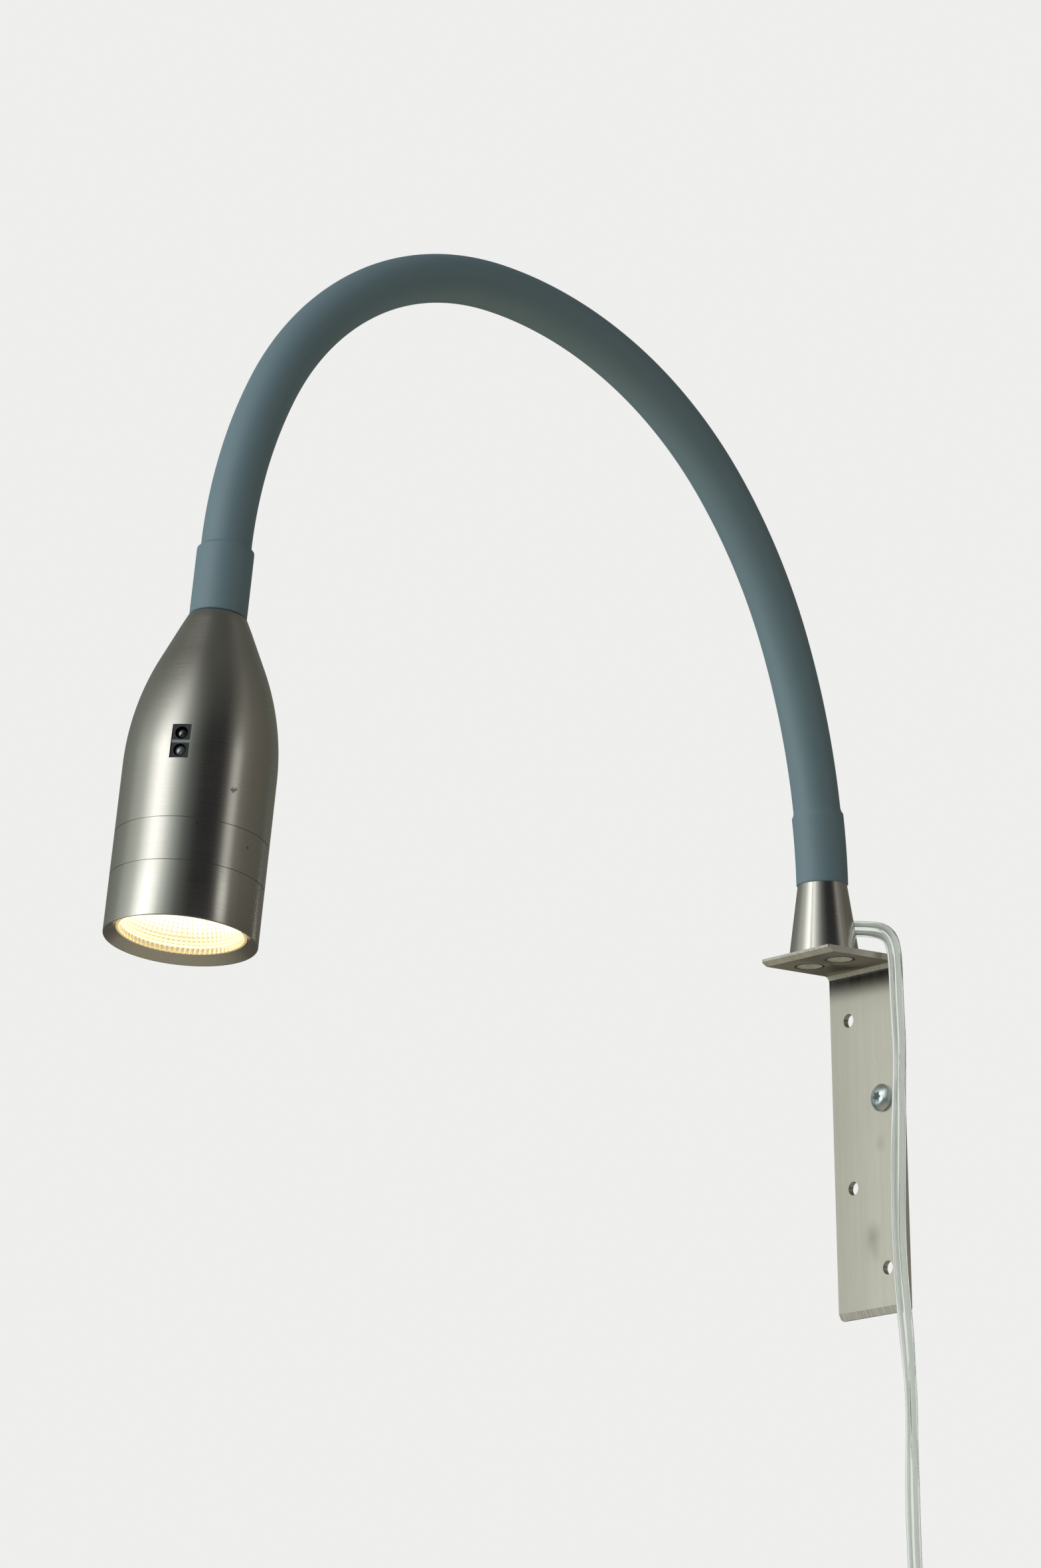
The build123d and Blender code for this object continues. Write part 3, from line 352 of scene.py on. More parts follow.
class NodeTree:
    """The node tree of one material or of the world."""

    def __init__(self, owner):
        owner.use_nodes = True
        self.tree = owner.node_tree
        self.tree.nodes.clear()

    def add(self, kind, settings=None, sockets=None):
        """A node of that type, its settings made first, then its sockets given values or links."""
        node = self.tree.nodes.new(kind)
        for name, value in (settings or {}).items():
            if name == "stops":
                self.set_stops(node.color_ramp, value)
            else:
                setattr(node, name, value)
        for key, value in (sockets or {}).items():
            if isinstance(value, Wire):
                self.tree.links.new(value.socket, node.inputs[key])
            else:
                node.inputs[key].default_value = value
        return Added(self, node)

    @staticmethod
    def set_stops(colour_ramp, stops):
        colour_ramp.interpolation = "EASE"
        elements = colour_ramp.elements
        while len(elements) < len(stops):
            elements.new(1.0)
        for element, (place, colour) in zip(elements, stops):
            element.position = place
            element.color = (*colour, 1.0)

    def math(self, operation, first, second=0.0):
        return self.add("ShaderNodeMath", {"operation": operation}, {0: first, 1: second}).out(0)

    def vector_math(self, operation, first, second, output=0):
        sockets = {0: first, 1: second}
        return self.add("ShaderNodeVectorMath", {"operation": operation}, sockets).out(output)

    def place(self, kind="Object"):
        """Texture coordinates of that kind."""
        return self.add("ShaderNodeTexCoord").out(kind)

    def axes(self, vector):
        """A vector's three numbers."""
        node = self.add("ShaderNodeSeparateXYZ", None, {0: vector})
        return node.out(0), node.out(1), node.out(2)

    def join(self, x, y, z):
        return self.add("ShaderNodeCombineXYZ", None, {0: x, 1: y, 2: z}).out(0)

    def stretch(self, vector, factors):
        """A vector times a number for each of its axes."""
        return self.vector_math("MULTIPLY", vector, factors)

    def distance(self, first, second):
        return self.vector_math("DISTANCE", first, second, 1)

    def share_along(self, vector, direction):
        """How far a vector points along a direction."""
        return self.vector_math("DOT_PRODUCT", vector, direction, 1)

    def noise(self, vector, scale, detail=3.0, roughness=0.55):
        sockets = {"Vector": vector, "Scale": scale, "Detail": detail, "Roughness": roughness}
        return self.add("ShaderNodeTexNoise", None, sockets).out(0)

    def ramp(self, factor, stops):
        return self.add("ShaderNodeValToRGB", {"stops": stops}, {0: factor}).out(0)

    def remap(self, value, low, high, to_low=0.0, to_high=1.0):
        """A value's range from low to high carried smoothly to another range and held at its ends."""
        sockets = {"Value": value, "From Min": low, "From Max": high, "To Min": to_low, "To Max": to_high}
        return self.add("ShaderNodeMapRange", {"interpolation_type": "SMOOTHSTEP"}, sockets).out(0)

    def mix(self, factor, first, second):
        """Two colours mixed by a factor."""
        sockets = {0: factor, 6: self.colour(first), 7: self.colour(second)}
        return self.add("ShaderNodeMix", {"data_type": "RGBA"}, sockets).out(2)

    @staticmethod
    def colour(value):
        return value if isinstance(value, Wire) else (*value, 1.0)

    def bump(self, height, distance, strength=1.0):
        sockets = {"Height": height, "Distance": distance, "Strength": strength}
        return self.add("ShaderNodeBump", None, sockets).out(0)

    def finish(self, sockets):
        """Ends the tree in the main surface shader with those sockets."""
        shader = self.add("ShaderNodeBsdfPrincipled", None, sockets)
        self.add("ShaderNodeOutputMaterial", None, {0: shader.out(0)})


def new_finish(name):
    material = bpy.data.materials.new(name)
    return material, NodeTree(material)


def scaled(colour, factor):
    return tuple(channel * factor for channel in colour)


def turned_metal(name, colour, roughness=0.27, lines_per_metre=2600.0, grain=0.05, anisotropy=0.72):
    """Turned and satin-plated metal: fine lines run round the axis, with faint wear and dust."""
    material, tree = new_finish(name)
    place = tree.place()
    around = tree.noise(tree.stretch(place, (34.0, 34.0, lines_per_metre)), 1.0, 4.0, 0.7)
    coarse = tree.noise(tree.stretch(place, (14.0, 14.0, lines_per_metre * 0.22)), 1.0, 3.0, 0.6)
    cloud = tree.noise(place, 55.0, 4.0, 0.6)
    shade = (around - 0.5) * grain + (coarse - 0.5) * (grain * 1.3) + (cloud - 0.5) * 0.06 + 0.5
    base = tree.mix(shade, scaled(colour, 0.72), scaled(colour, 1.28))
    torn = tree.noise(place, 1600.0, 3.0, 0.6)
    for middle, radius, depth in DENTS:
        away = tree.distance(place, middle) + (torn - 0.5) * radius * 1.6
        base = tree.mix(tree.remap(away, radius, radius * 0.5) * depth, base, scaled(colour, 0.16))
    gloss = (around - 0.5) * 0.10 + (cloud - 0.5) * 0.08 + roughness
    tree.finish({
        "Base Color": base,
        "Metallic": 1.0,
        "Roughness": gloss,
        "Anisotropic": anisotropy,
        "Anisotropic Rotation": 0.25,
        "Normal": tree.bump(around + coarse, 0.01 * MM, 0.07),
    })
    return material


def brushed_strip(name, colour):
    """Flat bar with lengthwise brushing; the ground edges are lighter and crossed by fine marks; painted
    light makes it lighter towards the right, and painted shade darkens the corner under the flange and the
    countersinks.
    """
    material, tree = new_finish(name)
    x, y, z = tree.axes(tree.place())
    lengthwise = tree.join(x * 2300.0, (z - y) * 26.0, y * 40.0)
    grain = tree.noise(lengthwise, 1.0, 4.0, 0.7)
    streak = tree.noise(tree.join(x * 420.0, (z - y) * 9.0, 0.0), 1.0, 3.0, 0.6)
    stain = tree.noise(tree.place(), 34.0, 4.0, 0.65)
    # Painted light: the plate is made lighter towards the right, where more light falls on it.
    painted_light_to_right = tree.remap(x, -15.0 * MM, 6.0 * MM) * 0.24
    shade = (grain - 0.5) * 0.26 + (streak - 0.5) * 0.30 + (stain - 0.5) * 0.30 + painted_light_to_right + 0.34
    base = tree.mix(shade, scaled(colour, 0.70), scaled(colour, 1.30))
    specks = tree.remap(tree.noise(tree.place(), 1500.0, 1.0, 0.4), 0.75, 0.80)
    base = tree.mix(specks * tree.remap(x, -6.0 * MM, 3.0 * MM) * 0.6, base, (0.95, 0.95, 0.92))
    for smudge_x, smudge_z, radius, depth in SMUDGES:
        away = ((x - smudge_x) ** 2.0 + ((z - smudge_z) * 0.8) ** 2.0) ** 0.5
        base = tree.mix(tree.remap(away, radius, 0.0) * depth * (streak + 0.4), base, scaled(colour, 0.3))
    facing_y, facing_z = tree.axes(tree.add("ShaderNodeNewGeometry").out("Normal"))[1:]
    underside = tree.remap(facing_z, -0.93, -0.985) * tree.remap(y, -3.0 * MM, -5.0 * MM)
    ring_start, ring_full, fade_start, fade_end = SCREW_RING
    for side in (-1, 1):
        away = ((x - side * FLANGE_SCREW_X) ** 2.0 + (y - FLANGE_SCREW_Y) ** 2.0) ** 0.5
        # Painted shade: a dark ring in each countersink, where the screw head sits below the flange's
        # surface.
        gap = tree.remap(away, ring_start, ring_full) * tree.remap(away, fade_end, fade_start) * underside
        base = tree.mix(gap * 0.85, base, (0.02, 0.02, 0.018))
    # Painted shadow under the flange: the plate is darkened from the bend downwards.
    corner = tree.remap(z, *CORNER_SHADE) * tree.remap(facing_y, -0.55, -0.85)
    base = tree.mix(corner * (streak * 0.3 + 0.78), base, (0.030, 0.030, 0.025))
    bevel = tree.remap(facing_z, -0.28, -0.40) * tree.remap(facing_z, -0.985, -0.93)
    front_edge = tree.remap(facing_y, -0.80, -0.90) * tree.remap(y, *FRONT_EDGE)
    ground = (bevel + front_edge).at_most(1.0)
    marks = tree.noise(tree.join(x * 3400.0, z * 160.0, y * 160.0), 1.0, 3.0, 0.7)
    ground_tint = tree.mix(tree.remap(marks, 0.30, 0.70), scaled(colour, 1.1), (1.0, 1.0, 0.94))
    tree.finish({
        "Base Color": tree.mix(ground, base, ground_tint),
        "Metallic": 1.0 - ground * 0.85,
        "Roughness": (grain - 0.5) * 0.14 + (stain - 0.5) * 0.12 + 0.40 + ground * 0.12,
        "Anisotropic": 0.75,
        "Normal": tree.bump(grain + streak + marks * ground * 2.0, 0.02 * MM, 0.3),
    })
    return material


def matt_rubber(name, colour, roughness=0.5, speck=0.06, dust=0.12):
    """Smooth rubber or soft plastic with a slight haze and a few specks of dust."""
    material, tree = new_finish(name)
    place = tree.place()
    haze = tree.noise(place, 26.0, 3.0, 0.6)
    fine = tree.noise(place, 2600.0, 3.0, 0.6)
    specks = tree.remap(tree.noise(place, 900.0, 1.0, 0.4), 0.76, 0.80)
    shade = (haze - 0.5) * 0.30 + (fine - 0.5) * speck * 2.0 + 0.5
    base = tree.mix(shade, scaled(colour, 0.86), scaled(colour, 1.14))
    base = tree.mix(specks * dust, base, (0.62, 0.66, 0.68))
    gloss = (fine - 0.5) * 0.10 + (haze - 0.5) * 0.08 + roughness
    tree.finish({
        "Base Color": base,
        "Roughness": gloss,
        "Specular IOR Level": 0.55,
        "Normal": tree.bump(fine, 0.03 * MM, 0.25),
    })
    return material


def plain_metal(name, colour, roughness=0.32, scale=420.0, metallic=1.0):
    """Bright hardware metal with cloudy plating and small handling marks."""
    material, tree = new_finish(name)
    place = tree.place()
    cloud = tree.noise(place, scale, 4.0, 0.6)
    marks = tree.noise(tree.stretch(place, (1500.0, 1500.0, 220.0)), 1.0, 3.0, 0.6)
    base = tree.mix(cloud, scaled(colour, 0.78), scaled(colour, 1.22))
    tree.finish({
        "Base Color": base,
        "Metallic": metallic,
        "Roughness": (cloud - 0.5) * 0.18 + (marks - 0.5) * 0.10 + roughness,
        "Normal": tree.bump(marks, 0.02 * MM, 0.3),
    })
    return material


def moulded_plastic(name, colour, roughness=0.4, scale=700.0):
    """Moulded plastic with a fine spark-eroded grain."""
    material, tree = new_finish(name)
    place = tree.place()
    grain = tree.noise(place, scale, 4.0, 0.6)
    cloud = tree.noise(place, 60.0, 2.0, 0.5)
    shade = (grain - 0.5) * 0.5 + (cloud - 0.5) * 0.5 + 0.5
    tree.finish({
        "Base Color": tree.mix(shade, scaled(colour, 0.84), scaled(colour, 1.16)),
        "Roughness": (grain - 0.5) * 0.16 + roughness,
        "Normal": tree.bump(grain, 0.03 * MM, 0.3),
    })
    return material


def wound_core(name, colour, coil_lines=1500.0):
    """Bendable core of profiled strip: close helical lines over bright steel."""
    material, tree = new_finish(name)
    place = tree.place()
    y, z = tree.axes(place)[1:]
    lines = (z * coil_lines + y * (coil_lines * 0.8)).sine()
    cloud = tree.noise(place, 300.0, 3.0, 0.6)
    base = tree.mix(lines * 0.35 + cloud * 0.4 + 0.2, scaled(colour, 0.5), scaled(colour, 1.2))
    tree.finish({
        "Base Color": base,
        "Metallic": 1.0,
        "Roughness": cloud * 0.2 + 0.28,
        "Normal": tree.bump(lines, 0.15 * MM, 0.6),
    })
    return material


def circuit_board(name, colour, trace):
    """Lacquered board with faint copper tracks under the lacquer."""
    material, tree = new_finish(name)
    place = tree.place()
    settings = {"distance": "CHEBYCHEV", "feature": "F1"}
    cells = tree.add("ShaderNodeTexVoronoi", settings, {"Vector": place, "Scale": 330.0}).out(0)
    tracks = tree.remap(cells, 0.42, 0.46)
    grain = tree.noise(place, 1200.0, 3.0, 0.6)
    base = tree.mix(tracks * 0.7, tree.mix(grain, scaled(colour, 0.8), scaled(colour, 1.2)), trace)
    tree.finish({
        "Base Color": base,
        "Roughness": grain * 0.15 + 0.26,
        "Normal": tree.bump(tracks + grain * 0.2, 0.04 * MM, 0.4),
    })
    return material


def clear_jacket(name, colour):
    """Clear soft jacket of the cord, slightly hazy, with drawn lines along it."""
    material, tree = new_finish(name)
    haze = tree.noise(tree.place(), 120.0, 3.0, 0.6)
    across, along = tree.axes(tree.place("UV"))[:2]
    drawn = tree.noise(tree.join(across * 8.0, along * 3.0, 0.0), 1.0, 2.0, 0.5)
    tree.finish({
        "Base Color": tree.mix(haze, scaled(colour, 0.96), scaled(colour, 1.04)),
        "Roughness": haze * 0.06 + 0.03,
        "IOR": 1.45,
        "Transmission Weight": 0.93,
        "Normal": tree.bump(drawn, 0.12 * MM, 0.20),
    })
    return material


def tinned_strands(name, colour):
    """Fine twisted strands, seen through the jacket."""
    material, tree = new_finish(name)
    place = tree.place()
    cloud = tree.noise(tree.stretch(place, (300.0, 300.0, 40.0)), 1.0, 3.0, 0.6)
    fine = tree.noise(tree.stretch(place, (1400.0, 1400.0, 60.0)), 1.0, 2.0, 0.6)
    tree.finish({
        "Base Color": tree.mix(cloud, scaled(colour, 0.86), scaled(colour, 1.08)),
        "Metallic": 0.15,
        "Roughness": cloud * 0.2 + 0.34,
        "Normal": tree.bump(fine, 0.02 * MM, 0.12),
    })
    return material


def reflector_with_painted_glow(name, colour, strength, lobes, rows):
    """Coated reflector with a painted glow that stands in for the lamp's light on it: whitest deep inside,
    amber between the facets.
    """
    material, tree = new_finish(name)
    place = tree.place()
    x, y, z = tree.axes(place)
    cloud = tree.noise(place, 900.0, 3.0, 0.6)
    column = (y.angle_over(x) * (lobes / 2)).cosine().absolute()
    row = ((z - FACET_START) * (math.pi * rows / (FACET_END - FACET_START))).sine().absolute()
    # Painted light: the facets' lit middles and darker edges, and the glow deep inside, are emission, not
    # light from the lamp.
    facet = tree.remap(column, 0.0, 0.55) * 0.6 + tree.remap(row, 0.0, 0.6) * 0.4
    depth = tree.remap(z, FACET_END - 1.0 * MM, PAINTED_GLOW_DEEP)
    amber = tree.mix(depth, scaled(colour, 0.26), scaled(colour, 0.75))
    bright = tree.mix(depth, (0.62, 0.50, 0.27), (2.0, 1.9, 1.5))
    tree.finish({
        "Base Color": tree.mix(cloud, (0.90, 0.78, 0.56), (0.98, 0.90, 0.72)),
        "Metallic": 1.0,
        "Roughness": cloud * 0.08 + 0.22,
        "Emission Color": tree.mix(facet, amber, bright),
        "Emission Strength": strength,
        "Normal": tree.bump(cloud, 0.02 * MM, 0.2),
    })
    return material


def glowing_chip(name, colour, strength):
    """Light chip under its phosphor, with the edge a little deeper in colour."""
    material, tree = new_finish(name)
    cloud = tree.noise(tree.place(), 1400.0, 2.0, 0.5)
    tree.finish({
        "Base Color": tree.mix(cloud, (0.85, 0.62, 0.12), (0.95, 0.78, 0.30)),
        "Roughness": 0.5,
        "Emission Color": tree.mix(cloud, colour, (1.0, 0.93, 0.78)),
        "Emission Strength": strength,
    })
    return material


def dark_lens(name, colour, roughness=0.06, coat=0.8):
    """Tinted epoxy lens with a hard gloss."""
    material, tree = new_finish(name)
    cloud = tree.noise(tree.place(), 800.0, 2.0, 0.5)
    tree.finish({
        "Base Color": tree.mix(cloud, scaled(colour, 0.7), scaled(colour, 1.3)),
        "Roughness": cloud * 0.04 + roughness,
        "Coat Weight": coat,
        "Coat IOR": 2.6,
    })
    return material


# ---------------------------------------------------------------- mesh helpers

def dress(node, material):
    """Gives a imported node's object its finish."""
    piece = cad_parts[node]
    if not piece.material_slots:
        piece.data.materials.append(material)
    for slot in piece.material_slots:
        slot.material = material


def new_piece(name, points, faces, material, sharp_angle=35.0):
    """An object from points and faces, smooth except where it turns by more than the angle."""
    mesh = bpy.data.meshes.new(name)
    mesh.from_pydata(points, [], faces)
    mesh.validate()
    mesh.shade_smooth()
    mesh.set_sharp_from_angle(angle=math.radians(sharp_angle))
    piece = bpy.data.objects.new(name, mesh)
    bpy.context.scene.collection.objects.link(piece)
    piece.data.materials.append(material)
    return piece


def closed_sweep(rings):
    """Points and faces of rings joined one to the next, and the last to the first."""
    count = len(rings[0])
    points = [point for ring in rings for point in ring]
    faces = []
    for i in range(len(rings)):
        here, following = i * count, (i + 1) % len(rings) * count
        for k in range(count):
            side = (k + 1) % count
            faces.append((here + k, here + side, following + side, following + k))
    return points, faces


def capped_sweep(rings):
    """Points and faces of rings joined one to the next, with a cap on each end."""
    count = len(rings[0])
    points, faces = closed_sweep(rings)
    faces = faces[:-count]
    faces.append(tuple(reversed(range(count))))
    faces.append(tuple(range(len(points) - count, len(points))))
    return points, faces


def circle(count):
    """Cosine and sine at that many even steps of a full turn."""
    angles = [2 * math.pi * k / count for k in range(count)]
    return [(math.cos(angle), math.sin(angle)) for angle in angles]


def lathe(name, section, place, material):
    """A hollow piece turned about its local Z from a closed section of (radius, height) corners."""
    turn = circle(HEAD_COLUMNS)
    rings = [[(radius * x, radius * y, height) for x, y in turn] for radius, height in section]
    points, faces = closed_sweep(rings)
    piece = new_piece(name, points, faces, material, HEAD_SHARP)
    piece.matrix_world = place
    return piece


def between(low, high, count):
    return [low + (high - low) * i / (count - 1) for i in range(count)]


def smooth(share):
    share = min(max(share, 0.0), 1.0)
    return share * share * (3 - 2 * share)


# ---------------------------------------------------------------- neck

class NeckLine:
    """The neck's centre line from the top of the cone to the head, as places whose Z runs along it."""

    def __init__(self):
        low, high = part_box("base_cone")
        self.spans = [(BASE_FERRULE, BASE_TURN), (SLEEVE_LEAD, 0.0)]
        self.spans += [(NECK_EACH, turn) for turn in NECK_TURNS]
        self.starts = []
        place, run = Matrix.Translation((0, (low.y + high.y) / 2, high.z)), 0.0
        for length, turn in self.spans:
            self.starts.append((run, place))
            place = place @ self.carried(length, turn)
            run += length
        self.tail_start = run
        self.tail = place @ Matrix.Rotation(math.radians(HEAD_SIDE_TILT), 4, "Y")
        self.end = run + SLEEVE_LEAD + TAIL_FERRULE

    @staticmethod
    def carried(length, turn):
        """The move along an arc in the local YZ plane."""
        angle = math.radians(turn)
        if abs(angle) < 1e-9:
            return Matrix.Translation((0, 0, length))
        radius = length / angle
        shift = (0, -radius * (1 - math.cos(angle)), radius * math.sin(angle))
        return Matrix.Translation(shift) @ Matrix.Rotation(angle, 4, "X")

    def at(self, run):
        if run >= self.tail_start:
            return self.tail @ Matrix.Translation((0, 0, run - self.tail_start))
        index = max(i for i, (start, _) in enumerate(self.starts) if start <= run + 1e-9)
        start, place = self.starts[index]
        length, turn = self.spans[index]
        share = (run - start) / length
        return place @ self.carried(run - start, turn * share)

    def knuckle(self, number):
        """The run at which hinge number 0 to 7 lies."""
        return BASE_FERRULE + SLEEVE_LEAD + NECK_EACH * number

    def head(self):
        return self.at(self.end)


def sleeve_outside(run, line, sizes):
    """Outside radius of the sleeve at a distance along the neck."""
    radius = sizes.sleeve_radius
    base_swell, tail_swell = sizes.base_radius - radius, sizes.tail_radius - radius
    radius += base_swell * (1 - smooth((run - BASE_FERRULE) / SHOULDER + 0.5))
    radius += tail_swell * smooth((run - (line.end - TAIL_FERRULE)) / SHOULDER + 0.5)
    from_end = min(run, line.end - HEAD_GAP - run)
    if from_end < END_ROUND:
        radius -= END_DROP * (1 - from_end / END_ROUND) ** 2
    return radius


def sleeve_inside(run, line):
    if run < BASE_FERRULE:
        return BASE_BORE
    if run > line.end - TAIL_FERRULE:
        return TAIL_BORE
    return SLEEVE_BORE


def sleeve_piece(name, line, start, end, sizes, material):
    """One smooth length of the sleeve, a closed thin tube along the neck's line."""
    runs = between(start, end, max(2, round((end - start) / SLEEVE_STEP)) + 1)
    if start == 0.0:
        runs[1:1] = [END_FIRST, END_ROUND]
    if end >= line.end - HEAD_GAP - 1e-9:
        runs[-1:-1] = [end - END_ROUND, end - END_FIRST]
    outside = [sleeve_ring(line.at(run), sleeve_outside(run, line, sizes)) for run in runs]
    inside = [sleeve_ring(line.at(run), sleeve_inside(run, line)) for run in reversed(runs)]
    points, faces = closed_sweep(outside + inside)
    return new_piece(name, points, faces, material, 40.0)


def sleeve_ring(place, radius):
    return [place @ Vector((radius * x, radius * y, 0)) for x, y in circle(SLEEVE_COLUMNS)]


# ---------------------------------------------------------------- cord

def coil_point(turn):
    """A point of the coil's line after that many turns: in to the middle in front, out again behind."""
    depth = turn if turn <= COIL_TURNS / 2 else COIL_TURNS - turn
    radius = COIL_RADIUS - COIL_PITCH * depth
    climb = smooth(((turn - COIL_TURNS / 2) * 4 + 1) / 2)
    angle = -2 * math.pi * turn
    last_x, _, last_z = CORD_ROUTE[-1]
    centre_x, centre_z = last_x - COIL_RADIUS, last_z - COIL_LEAD
    front_y = CORD_ROUTE[-2][1]
    return (centre_x + radius * math.cos(angle), front_y + COIL_PITCH * climb,
            centre_z + radius * math.sin(angle))


def cord_points():
    """Control points of the whole cord in metres: the route, then the turns, then the lead to the plug."""
    points = list(CORD_ROUTE)
    for step in range(COIL_TURNS * COIL_STEPS + 1):
        points.append(coil_point(step / COIL_STEPS))
    x, y, z = points[-1]
    points.append((x, y, z - COIL_LEAD))
    return [tuple(c * MM for c in point) for point in points]


def cord_line():
    """The cord's smooth centre line, read from a NURBS spline through the control points."""
    curve = bpy.data.curves.new("cord_line", "CURVE")
    curve.dimensions = "3D"
    curve.resolution_u = 8
    spline = curve.splines.new("NURBS")
    points = cord_points()
    spline.points.add(len(points) - 1)
    for control, point in zip(spline.points, points):
        control.co = (*point, 1.0)
    spline.order_u = 3
    spline.use_endpoint_u = True
    holder = bpy.data.objects.new("cord_line", curve)
    bpy.context.scene.collection.objects.link(holder)
    bpy.context.view_layer.update()
    mesh = bpy.data.meshes.new_from_object(holder)
    line = [vertex.co.copy() for vertex in mesh.vertices]
    bpy.data.meshes.remove(mesh)
    bpy.data.objects.remove(holder)
    bpy.data.curves.remove(curve)
    return line


def cord_twist(run):
    """Degrees by which the flat cord has turned about its own line at that distance from the cone."""
    wander = 12 * math.sin(run / 0.021) + 6 * math.sin(run / 0.0083 + 1.0)
    return wander * smooth((run - 0.03) / 0.05) + 60 * smooth((run - 0.24) / 0.07)


def cord_frames(line):
    """For each point of the line: the point, the cord's width direction and its thickness direction."""
    wide = Vector((0, 0, 1))
    run, found = 0.0, []
    for i, point in enumerate(line):
        ahead = (line[min(i + 1, len(line) - 1)] - line[max(i - 1, 0)]).normalized()
        wide = (wide - ahead * wide.dot(ahead)).normalized()
        if i:
            run += (point - line[i - 1]).length
        thick = ahead.cross(wide)
        angle = math.radians(cord_twist(run))
        turned_wide = wide * math.cos(angle) + thick * math.sin(angle)
        found.append((point, turned_wide, ahead.cross(turned_wide)))
    return found


def twin_section(lobe, offset, steps=9):
    """Outline of a flat twin cord: two round lobes with a shallow groove between them."""
    opening = math.radians(LOBE_OPENING)
    outline = []
    for side in (1, -1):
        for angle in between(-opening, opening, steps):
            outline.append((side * (offset + lobe * math.cos(angle)), side * lobe * math.sin(angle)))
    return outline


def sweep_section(name, frames, outline, material, sharp_angle=50.0):
    rings = []
    for point, wide, thick in frames:
        rings.append([point + wide * u + thick * v for u, v in outline])
    points, faces = capped_sweep(rings)
    piece = new_piece(name, points, faces, material, sharp_angle)
    lay_strip(piece.data, frames, len(outline))
    return piece


def lay_strip(mesh, frames, count):
    """Lays the sweep flat for drawn patterns: round the section across, and centimetres along the line."""
    runs = [0.0]
    for before, after in zip(frames, frames[1:]):
        runs.append(runs[-1] + (after[0] - before[0]).length * 100.0)
    layer = mesh.uv_layers.new(name="drawn")
    for loop in mesh.loops:
        row, column = divmod(loop.vertex_index, count)
        layer.data[loop.index].uv = (column / count, runs[row])


# ---------------------------------------------------------------- operators

class SCONCE_OT_stage(bpy.types.Operator):
    """Sets up the camera at the photograph's angle, the pale floor and the soft studio light"""

    bl_idname = "sconce.stage"
    bl_label = "Camera, floor and studio light"

    def execute(self, context):
        colours = context.scene.sconce_colours
        self.camera(context)
        self.floor(colours)
        self.studio(context, colours)
        context.scene.view_settings.view_transform = "Standard"
        return {"FINISHED"}

    @staticmethod
    def camera(context):
        azimuth, elevation = math.radians(CAMERA_AZIMUTH), math.radians(CAMERA_ELEVATION)
        roll = math.radians(CAMERA_ROLL)
        flat = math.cos(elevation)
        forward = Vector((-math.sin(azimuth) * flat, math.cos(azimuth) * flat, math.sin(elevation)))
        right = Vector((math.cos(azimuth), math.sin(azimuth), 0))
        up = right.cross(forward)
        side = right * math.cos(roll) + up * math.sin(roll)
        top = up * math.cos(roll) - right * math.sin(roll)
        turn = Matrix((side, top, -forward)).transposed().to_4x4()
        lens = bpy.data.cameras.new("photo_camera")
        lens.sensor_fit = "AUTO"
        lens.sensor_width = 36.0
        lens.lens = CAMERA_LENS
        lens.clip_start = 0.05
        lens.clip_end = 60.0
        camera = bpy.data.objects.new("photo_camera", lens)
        context.scene.collection.objects.link(camera)
        camera.matrix_world = Matrix.Translation(CAMERA_PLACE) @ turn
        context.scene.camera = camera

    @staticmethod
    def floor(colours):
        signs = ((-1, -1), (1, -1), (1, 1), (-1, 1))
        corners = [(x * FLOOR_HALF, y * FLOOR_HALF, FLOOR_HEIGHT) for x, y in signs]
        material, tree = new_finish("pale_floor")
        cloud = tree.noise(tree.place(), 3.0, 4.0, 0.6)
        pale = tuple(colours.backdrop)
        tree.finish({
            "Base Color": tree.mix(cloud, scaled(pale, 0.97), pale),
            "Roughness": 0.9,
            "Emission Color": (*pale, 1.0),
            "Emission Strength": FLOOR_EMISSION,
        })
        floor = new_piece("studio_floor", corners, [(0, 1, 2, 3)], material)
        floor.visible_diffuse = False
        floor.visible_glossy = False
        floor.visible_transmission = False

    @staticmethod
    def studio(context, colours):
        """A pale backdrop to the eye; round the object a wide soft light, a narrow strip and dim walls."""
        world = bpy.data.worlds.new("soft_studio")
        context.scene.world = world
        tree = NodeTree(world)
        azimuth = math.radians(CAMERA_AZIMUTH)
        to_left = (-math.cos(azimuth), -math.sin(azimuth), 0.0)
        to_camera = (math.sin(azimuth), -math.cos(azimuth), 0.0)
        direction = tree.place("Generated")
        left, near = tree.share_along(direction, to_left), tree.share_along(direction, to_camera)
        height = tree.axes(direction)[2]
        lean = tree.remap(height, 0.40, 0.90) * 0.06
        turn = left.angle_over(near) / (2 * math.pi) + 0.5 + lean
        stops = [((angle + 180.0) / 360.0, tint) for angle, tint in STUDIO_WALLS]
        walls = tree.ramp(turn, stops)
        strip_place = (STRIP_ANGLE + 180.0) / 360.0
        off_strip = (turn - strip_place).absolute() * (360.0 / STRIP_HALF_WIDTH)
        strip = tree.remap(off_strip, 1.5, 0.2) * tree.remap(height, 0.37, 0.18)
        walls = tree.mix(strip, walls, STRIP_GLOW)
        low = tree.mix(tree.remap(height, -0.95, -0.30), FLOOR_GLOW, LOW_WALL_GLOW)
        lifted = height + tree.remap(left, 0.70, 1.0) * 0.45
        room = tree.mix(tree.remap(lifted, -0.12, 0.20), low, walls)
        room = tree.mix(tree.remap(height, 0.35, 1.0), room, CEILING_GLOW)
        path = tree.add("ShaderNodeLightPath")
        seen = path.out("Is Camera Ray") + path.out("Is Transmission Ray")
        shown = tree.mix(seen, room, tuple(colours.backdrop))
        back = tree.add("ShaderNodeBackground", None, {0: shown, 1: 1.0})
        tree.add("ShaderNodeOutputWorld", None, {0: back.out(0)})


